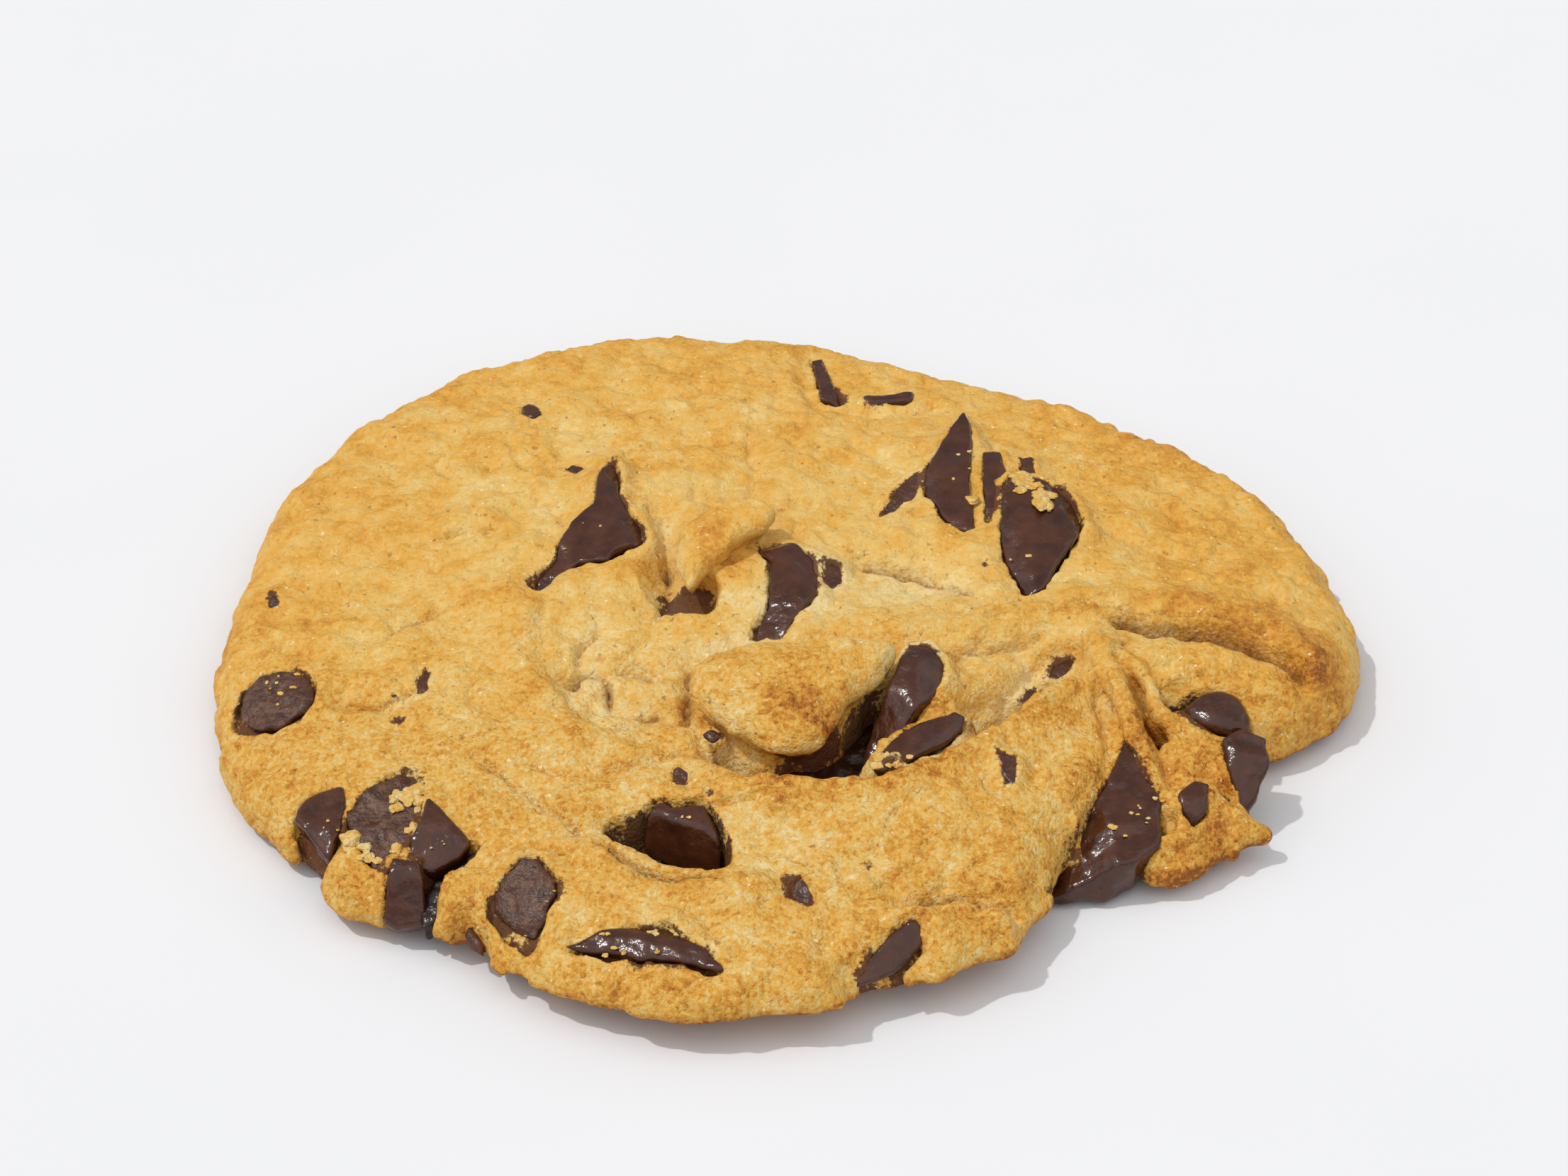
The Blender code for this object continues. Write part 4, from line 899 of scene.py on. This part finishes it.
# Dough crumbs that lie on chocolate: name of the chunk, middle and spread of the crumbs, how many, and
# their mean radius.
CRUMBS = (
    ("chunk_left_middle", (-38.4, -31.0), 0.25, 3, 1.0), ("chunk_left_middle", (-34.6, -34.4), 0.25, 3, 0.7),
    ("chunk_left_middle", (-33.0, -30.2), 0.35, 2, 0.5), ("chunk_left_middle", (-34.4, -32.2), 0.3, 2, 0.45),
    ("chunk_left_middle", (-33.6, -27.0), 0.75, 26, 0.5), ("chunk_left_middle", (-36.9, -33.2), 0.7, 16, 0.45),
    ("chunk_left_inner", (-30.5, -32.5), 1.2, 3, 0.12), ("chunk_left_outer", (-40, -29), 1.0, 3, 0.16),
    ("chunk_notch_slab", (31, -26), 1.0, 10, 0.14), ("chunk_notch_slab", (29.2, -29.6), 0.5, 2, 0.28),
    ("chunk_notch_slab", (31.2, -20), 0.6, 3, 0.14), ("chunk_front_sliver", (-12.5, -43.4), 2.2, 26, 0.26),
    ("chunk_crevice", (8.8, -23.2), 0.5, 12, 0.45), ("chunk_back_third", (22.8, 16.8), 0.9, 20, 0.5),
    ("chunk_back_third", (24.5, 6.8), 2.0, 4, 0.2), ("chunk_back_third", (24.4, 13.6), 0.5, 4, 0.8),
    ("chunk_back_first", (16, 20.8), 1.5, 5, 0.18),
    ("chunk_back_first", (18.2, 15.6), 0.3, 8, 0.5), ("chunk_back_third", (22.6, 17.6), 0.4, 6, 0.5), ("chip_left", (-46.2, -10.8), 1.4, 8, 0.2),
    ("chip_front_left", (-22.6, -39), 1.2, 3, 0.14), ("chunk_front_pocket", (-9.2, -29.8), 0.5, 3, 0.14),
    ("chunk_shard", (-20, 8), 3.0, 4, 0.12),
)
CRUMB_FLATNESS = (0.22, 0.5)
CRUMB_REACH = 0.4


def dough_crumbs(material, surfaces):
    """Small crumbs of dough stuck to the chocolate, as one piece."""
    draw = np.random.RandomState(77)
    ball = bmesh.new()
    bmesh.ops.create_icosphere(ball, subdivisions=3, radius=1.0)
    ball.verts.ensure_lookup_table()
    sphere = np.array([v.co for v in ball.verts])
    faces = np.array([[v.index for v in f.verts] for f in ball.faces])
    ball.free()
    points, triangles, count = [], [], 0
    for name, middle, spread, number, size in CRUMBS:
        surface = surfaces[name] / MM - np.array(SHIFT)
        for _ in range(number):
            spot = np.array(middle) + spread * draw.normal(size=2)
            radius = size * draw.uniform(0.55, 1.25)
            stretch = draw.uniform((0.7, 0.7, CRUMB_FLATNESS[0]), (1.5, 1.5, CRUMB_FLATNESS[1]))
            below = surface[np.hypot(*(surface[:, :2] - spot).T) < CRUMB_REACH]
            if not len(below):
                continue
            bumps = 1 + 0.45 * noise(*(sphere + 7 * len(points)).T, 0.9, 50) + 0.2 * noise(*(sphere + len(points)).T, 0.4, 51)
            points.append(to_frame(sphere * bumps[:, None] * radius * stretch + np.array((*spot, below[:, 2].max()))))
            triangles.append(faces + count)
            count += len(sphere)
    mesh = mesh_of("dough_crumbs", np.concatenate(points), np.concatenate(triangles))
    add_attribute(mesh, "browning", np.full(count, 0.25))
    add_attribute(mesh, "cocoa_and_shade", np.full(count, 0.12))
    add_attribute(mesh, "crease", np.zeros(count))
    add_attribute(mesh, "coarse", np.ones(count))
    return finish_piece("dough_crumbs", mesh, material)


# ---------------------------------------------------------------- materials
class Nodes:
    """Short calls for building a material's nodes."""

    def __init__(self, name):
        self.material = bpy.data.materials.new(name)
        self.material.use_nodes = True
        self.tree = self.material.node_tree
        self.shader = self.tree.nodes["Principled BSDF"]
        self.place = self.tree.nodes.new("ShaderNodeTexCoord").outputs["Object"]

    def put(self, socket, value):
        if isinstance(value, bpy.types.NodeSocket):
            self.tree.links.new(value, socket)
        else:
            socket.default_value = value

    def noise(self, size_mm, detail=2.0, rough=0.5, offset=0.0):
        node = self.tree.nodes.new("ShaderNodeTexNoise")
        node.noise_dimensions = "4D"
        self.put(node.inputs["Vector"], self.place)
        node.inputs["W"].default_value = offset
        node.inputs["Scale"].default_value = 1.0 / (size_mm * MM)
        node.inputs["Detail"].default_value = detail
        node.inputs["Roughness"].default_value = rough
        return node.outputs["Fac"]

    def cells(self, size_mm, output="Distance", feature="F1"):
        node = self.tree.nodes.new("ShaderNodeTexVoronoi")
        node.feature = feature
        self.put(node.inputs["Vector"], self.place)
        node.inputs["Scale"].default_value = 1.0 / (size_mm * MM)
        return node.outputs[output]

    def grains(self, size_mm):
        """Grains about that wide: distance from each one's middle, and a random number for each."""
        node = self.tree.nodes.new("ShaderNodeTexVoronoi")
        self.put(node.inputs["Vector"], self.place)
        node.inputs["Scale"].default_value = 1.0 / (size_mm * MM)
        split = self.tree.nodes.new("ShaderNodeSeparateColor")
        self.tree.links.new(node.outputs["Color"], split.inputs[0])
        return node.outputs["Distance"], split.outputs[0]

    def math(self, operation, a, b=0.0, clamp=False):
        node = self.tree.nodes.new("ShaderNodeMath")
        node.operation = operation
        node.use_clamp = clamp
        self.put(node.inputs[0], a)
        self.put(node.inputs[1], b)
        return node.outputs[0]

    def ramp(self, value, stops):
        node = self.tree.nodes.new("ShaderNodeValToRGB")
        self.put(node.inputs["Fac"], value)
        ramp = node.color_ramp
        while len(ramp.elements) < len(stops):
            ramp.elements.new(0.5)
        for element, (position, colour) in zip(ramp.elements, stops):
            element.position = position
            element.color = (*colour, 1.0) if len(colour) == 3 else (colour[0],) * 3 + (1.0,)
        return node.outputs["Color"]

    def spread(self, value, low, high, to_low=0.0, to_high=1.0):
        node = self.tree.nodes.new("ShaderNodeMapRange")
        self.put(node.inputs["Value"], value)
        for socket, number in zip(("From Min", "From Max", "To Min", "To Max"), (low, high, to_low, to_high)):
            self.put(node.inputs[socket], number)
        return node.outputs["Result"]

    def mix(self, share, a, b, kind="MIX"):
        node = self.tree.nodes.new("ShaderNodeMix")
        node.data_type = "RGBA"
        node.blend_type = kind
        self.put(node.inputs["Factor"], share)
        for socket, value in ((node.inputs[6], a), (node.inputs[7], b)):
            self.put(socket, value if isinstance(value, bpy.types.NodeSocket) else (*value, 1.0))
        return node.outputs[2]

    def attribute(self, name):
        node = self.tree.nodes.new("ShaderNodeAttribute")
        node.attribute_name = name
        return node.outputs["Fac"]

    def bump(self, height, distance_mm, strength=1.0, below=None):
        node = self.tree.nodes.new("ShaderNodeBump")
        node.inputs["Strength"].default_value = strength
        node.inputs["Distance"].default_value = distance_mm * MM
        self.put(node.inputs["Height"], height)
        if below is not None:
            self.put(node.inputs["Normal"], below)
        return node.outputs["Normal"]


def dough_material():
    n = Nodes("baked_dough")
    grain = n.noise(0.38, 2.0, 0.6)
    sand = n.noise(1.0, 2.0, 0.6, 3.0)
    patch = n.noise(2.4, 2.0, 0.55, 7.0)
    cloud = n.noise(6.0, 2.0, 0.5, 13.0)
    tone = n.attribute("browning")
    for part, share in ((cloud, 0.12), (patch, 0.16)):
        tone = n.math("ADD", tone, n.spread(part, 0.28, 0.72, -share, share))
    distance, chance = n.grains(0.45)
    speckle = n.math("ADD", n.spread(sand, 0.28, 0.72, -0.13, 0.13), n.spread(grain, 0.28, 0.72, -0.2, 0.2))
    speckle = n.math("ADD", speckle, n.spread(chance, 0.0, 1.0, -0.17, 0.17))
    coarse = n.attribute("coarse")
    tone = n.math("ADD", tone, n.math("MULTIPLY", speckle, coarse), clamp=True)
    colour = n.ramp(tone, ((0.0, (0.77, 0.60, 0.285)), (0.22, (0.74, 0.495, 0.155)), (0.5, (0.705, 0.375, 0.062)),
                           (0.78, (0.54, 0.218, 0.025)), (1.0, (0.29, 0.09, 0.012))))
    toasted = n.spread(n.noise(1.7, 2.0, 0.6, 17.0), 0.64, 0.76, 0.0, 0.6)
    colour = n.mix(toasted, colour, (0.52, 0.20, 0.022))
    # Painted shade of small pores: dark specks that stand for holes too small to model.
    pore_shade = n.spread(n.noise(0.70, 2.0, 0.7, 11.0), 0.28, 0.37, 0.8, 0.0)
    colour = n.mix(pore_shade, colour, (0.34, 0.145, 0.026))
    # Painted shade in creases and cracks: dark brown mixed in there.
    crack_shade = n.math("ADD", n.attribute("crease"), n.spread(grain, 0.3, 0.7, -0.2, 0.2))
    colour = n.mix(n.spread(crack_shade, 0.55, 1.1, 0.0, 0.85), colour, (0.25, 0.10, 0.022))
    # Chocolate colour from smears, and painted shade in the gaps by the chunks and in the pits.
    cocoa_and_shade = n.math("ADD", n.attribute("cocoa_and_shade"), n.spread(grain, 0.3, 0.7, -0.25, 0.25))
    cocoa_and_shade = n.spread(n.math("ADD", cocoa_and_shade, n.spread(sand, 0.3, 0.7, -0.15, 0.15)), 0.42, 0.68, 0.0, 0.92)
    colour = n.mix(cocoa_and_shade, colour, (0.085, 0.024, 0.012))
    glint = n.spread(n.noise(0.5, 1.0, 0.5, 29.0), 0.70, 0.76, 0.0, 0.7)
    colour = n.mix(glint, colour, (0.92, 0.78, 0.50))
    n.put(n.shader.inputs["Base Color"], colour)
    n.put(n.shader.inputs["Roughness"], n.spread(grain, 0.3, 0.7, 0.5, 0.85))
    n.shader.inputs["Specular IOR Level"].default_value = 0.25
    height = n.math("SUBTRACT", n.math("MULTIPLY", n.noise(0.32, 2.0, 0.6, 5.0), 1.8), n.math("MULTIPLY", distance, 0.5))
    height = n.math("MULTIPLY", height, coarse)
    n.put(n.shader.inputs["Normal"], n.bump(height, 0.14, 1.0, n.bump(sand, 0.34)))
    return n.material


def chocolate_material(name, dull, painted_shade=1.0):
    """Dark chocolate, where dull is from 0, with clean glossy faces, to 1, with a film of dough; the last argument
    darkens the colour, as painted shade.
    """
    n = Nodes(name)
    cloud = n.noise(2.2, 3.0, 0.55)
    fine = n.noise(0.35, 2.0, 0.6, 4.0)
    film = n.noise(0.7, 4.0, 0.7, 9.0)
    low, high = ([painted_shade * part for part in tone] for tone in ((0.036, 0.0094, 0.0036), (0.088, 0.0250, 0.0098)))
    colour = n.ramp(cloud, ((0.3, low), (0.7, high)))
    colour = n.mix(n.spread(film, 0.60 - 0.14 * dull, 0.78, 0.0, 0.22 + 0.35 * dull), colour, (0.30, 0.16, 0.075))
    n.put(n.shader.inputs["Base Color"], colour)
    n.put(n.shader.inputs["Roughness"], n.spread(cloud, 0.3, 0.7, 0.12 + 0.25 * dull, 0.27 + 0.25 * dull))
    n.shader.inputs["Specular IOR Level"].default_value = 0.52
    n.put(n.shader.inputs["Normal"], n.bump(fine, 0.04 + 0.14 * dull, 1.0, n.bump(cloud, 0.25 + 0.3 * dull)))
    return n.material


# ---------------------------------------------------------------- floor, light and camera
CAMERA_TARGET = (-0.63, -2.93, 12.57)
CAMERA_ELEVATION = 37.0
CAMERA_DISTANCE = 340.8


def make_floor():
    half = 3.0
    mesh = bpy.data.meshes.new("floor")
    mesh.from_pydata([(-half, -half, 0), (half, -half, 0), (half, half, 0), (-half, half, 0)], [], [(0, 1, 2, 3)])
    n = Nodes("pale_floor")
    n.put(n.shader.inputs["Base Color"], n.ramp(n.noise(40.0, 2.0), ((0.3, (0.795, 0.80, 0.82)),
                                                                    (0.7, (0.805, 0.81, 0.83)))))
    n.shader.inputs["Roughness"].default_value = 0.9
    n.shader.inputs["Specular IOR Level"].default_value = 0.1
    mesh.materials.append(n.material)
    floor = bpy.data.objects.new("floor", mesh)
    bpy.context.scene.collection.objects.link(floor)


SUN_DIRECTION = (0.55, 0.02, -1.0)
SUN_STRENGTH = 1.30
SUN_ANGLE = 2.0
FILL_STRENGTH = 0.985
WALL_SHARE = 0.25
DARK_ELEVATION = 38.0
DARK_SHARE = 0.42


def make_light():
    sun = bpy.data.lights.new("key", "SUN")
    sun.energy = SUN_STRENGTH
    sun.angle = math.radians(SUN_ANGLE)
    sun.color = (1.0, 0.985, 0.96)
    lamp = bpy.data.objects.new("key", sun)
    lamp.rotation_mode = "QUATERNION"
    lamp.rotation_quaternion = Vector(SUN_DIRECTION).to_track_quat("-Z", "Y")
    bpy.context.scene.collection.objects.link(lamp)
    world = bpy.data.worlds.new("studio")
    bpy.context.scene.world = world
    world.use_nodes = True
    back = world.node_tree.nodes["Background"]
    back.inputs["Color"].default_value = (0.985, 0.99, 1.0, 1.0)
    # The room is darker towards its walls, and darkest at the far side, which keeps the chocolate dark.
    tree = world.node_tree
    way = tree.nodes.new("ShaderNodeTexCoord").outputs["Generated"]
    far = (0.0, math.cos(math.radians(DARK_ELEVATION)), math.sin(math.radians(DARK_ELEVATION)))
    strength = None
    for axis, low, high, at_low, at_high in ((far, 0.62, 0.9, 1.0, DARK_SHARE), ((0.0, 0.0, 1.0), 0.0, 0.6, WALL_SHARE, 1.0)):
        dot = tree.nodes.new("ShaderNodeVectorMath")
        dot.operation = "DOT_PRODUCT"
        tree.links.new(way, dot.inputs[0])
        dot.inputs[1].default_value = axis
        spread = tree.nodes.new("ShaderNodeMapRange")
        spread.interpolation_type = "SMOOTHSTEP"
        tree.links.new(dot.outputs["Value"], spread.inputs["Value"])
        for socket, number in zip(("From Min", "From Max", "To Min", "To Max"), (low, high, at_low, at_high)):
            spread.inputs[socket].default_value = number
        times = tree.nodes.new("ShaderNodeMath")
        times.operation = "MULTIPLY"
        tree.links.new(spread.outputs["Result"], times.inputs[0])
        if strength is None:
            times.inputs[1].default_value = FILL_STRENGTH
        else:
            tree.links.new(strength, times.inputs[1])
        strength = times.outputs[0]
    tree.links.new(strength, back.inputs["Strength"])


def make_camera():
    camera = bpy.data.cameras.new("camera")
    camera.lens = 85.0
    camera.sensor_width = 36.0
    view = bpy.data.objects.new("camera", camera)
    turn = math.radians(CAMERA_ELEVATION)
    target = Vector(to_frame(CAMERA_TARGET))
    view.location = target + Vector((0.0, -math.cos(turn), math.sin(turn))) * CAMERA_DISTANCE * MM
    view.rotation_euler = (0.5 * math.pi - turn, 0.0, 0.0)
    bpy.context.scene.collection.objects.link(view)
    bpy.context.scene.camera = view


bpy.context.scene.view_settings.view_transform = "Standard"
make_camera()
make_light()
make_floor()
dough = dough_material()
dough_piece(dough)
glossy = chocolate_material("dark_chocolate", 0.0)
dusty = chocolate_material("dusty_chocolate", 1.0)
surfaces = chunk_pieces(glossy, dusty)
joined_pieces("chocolate_specks", SPECKS, chocolate_material("smeared_chocolate", 0.6), 120, 0.2, 0.3)
# The melted chocolate lies deep in the crevice under the nose and in the hole by the rim; its colour is darkened as
# painted shade.
joined_pieces("melted_chocolate_with_painted_shade", MELTS, chocolate_material("melted_chocolate_with_painted_shade", 0.25, 0.35), 220, 0.3)
dough_crumbs(dough, surfaces)
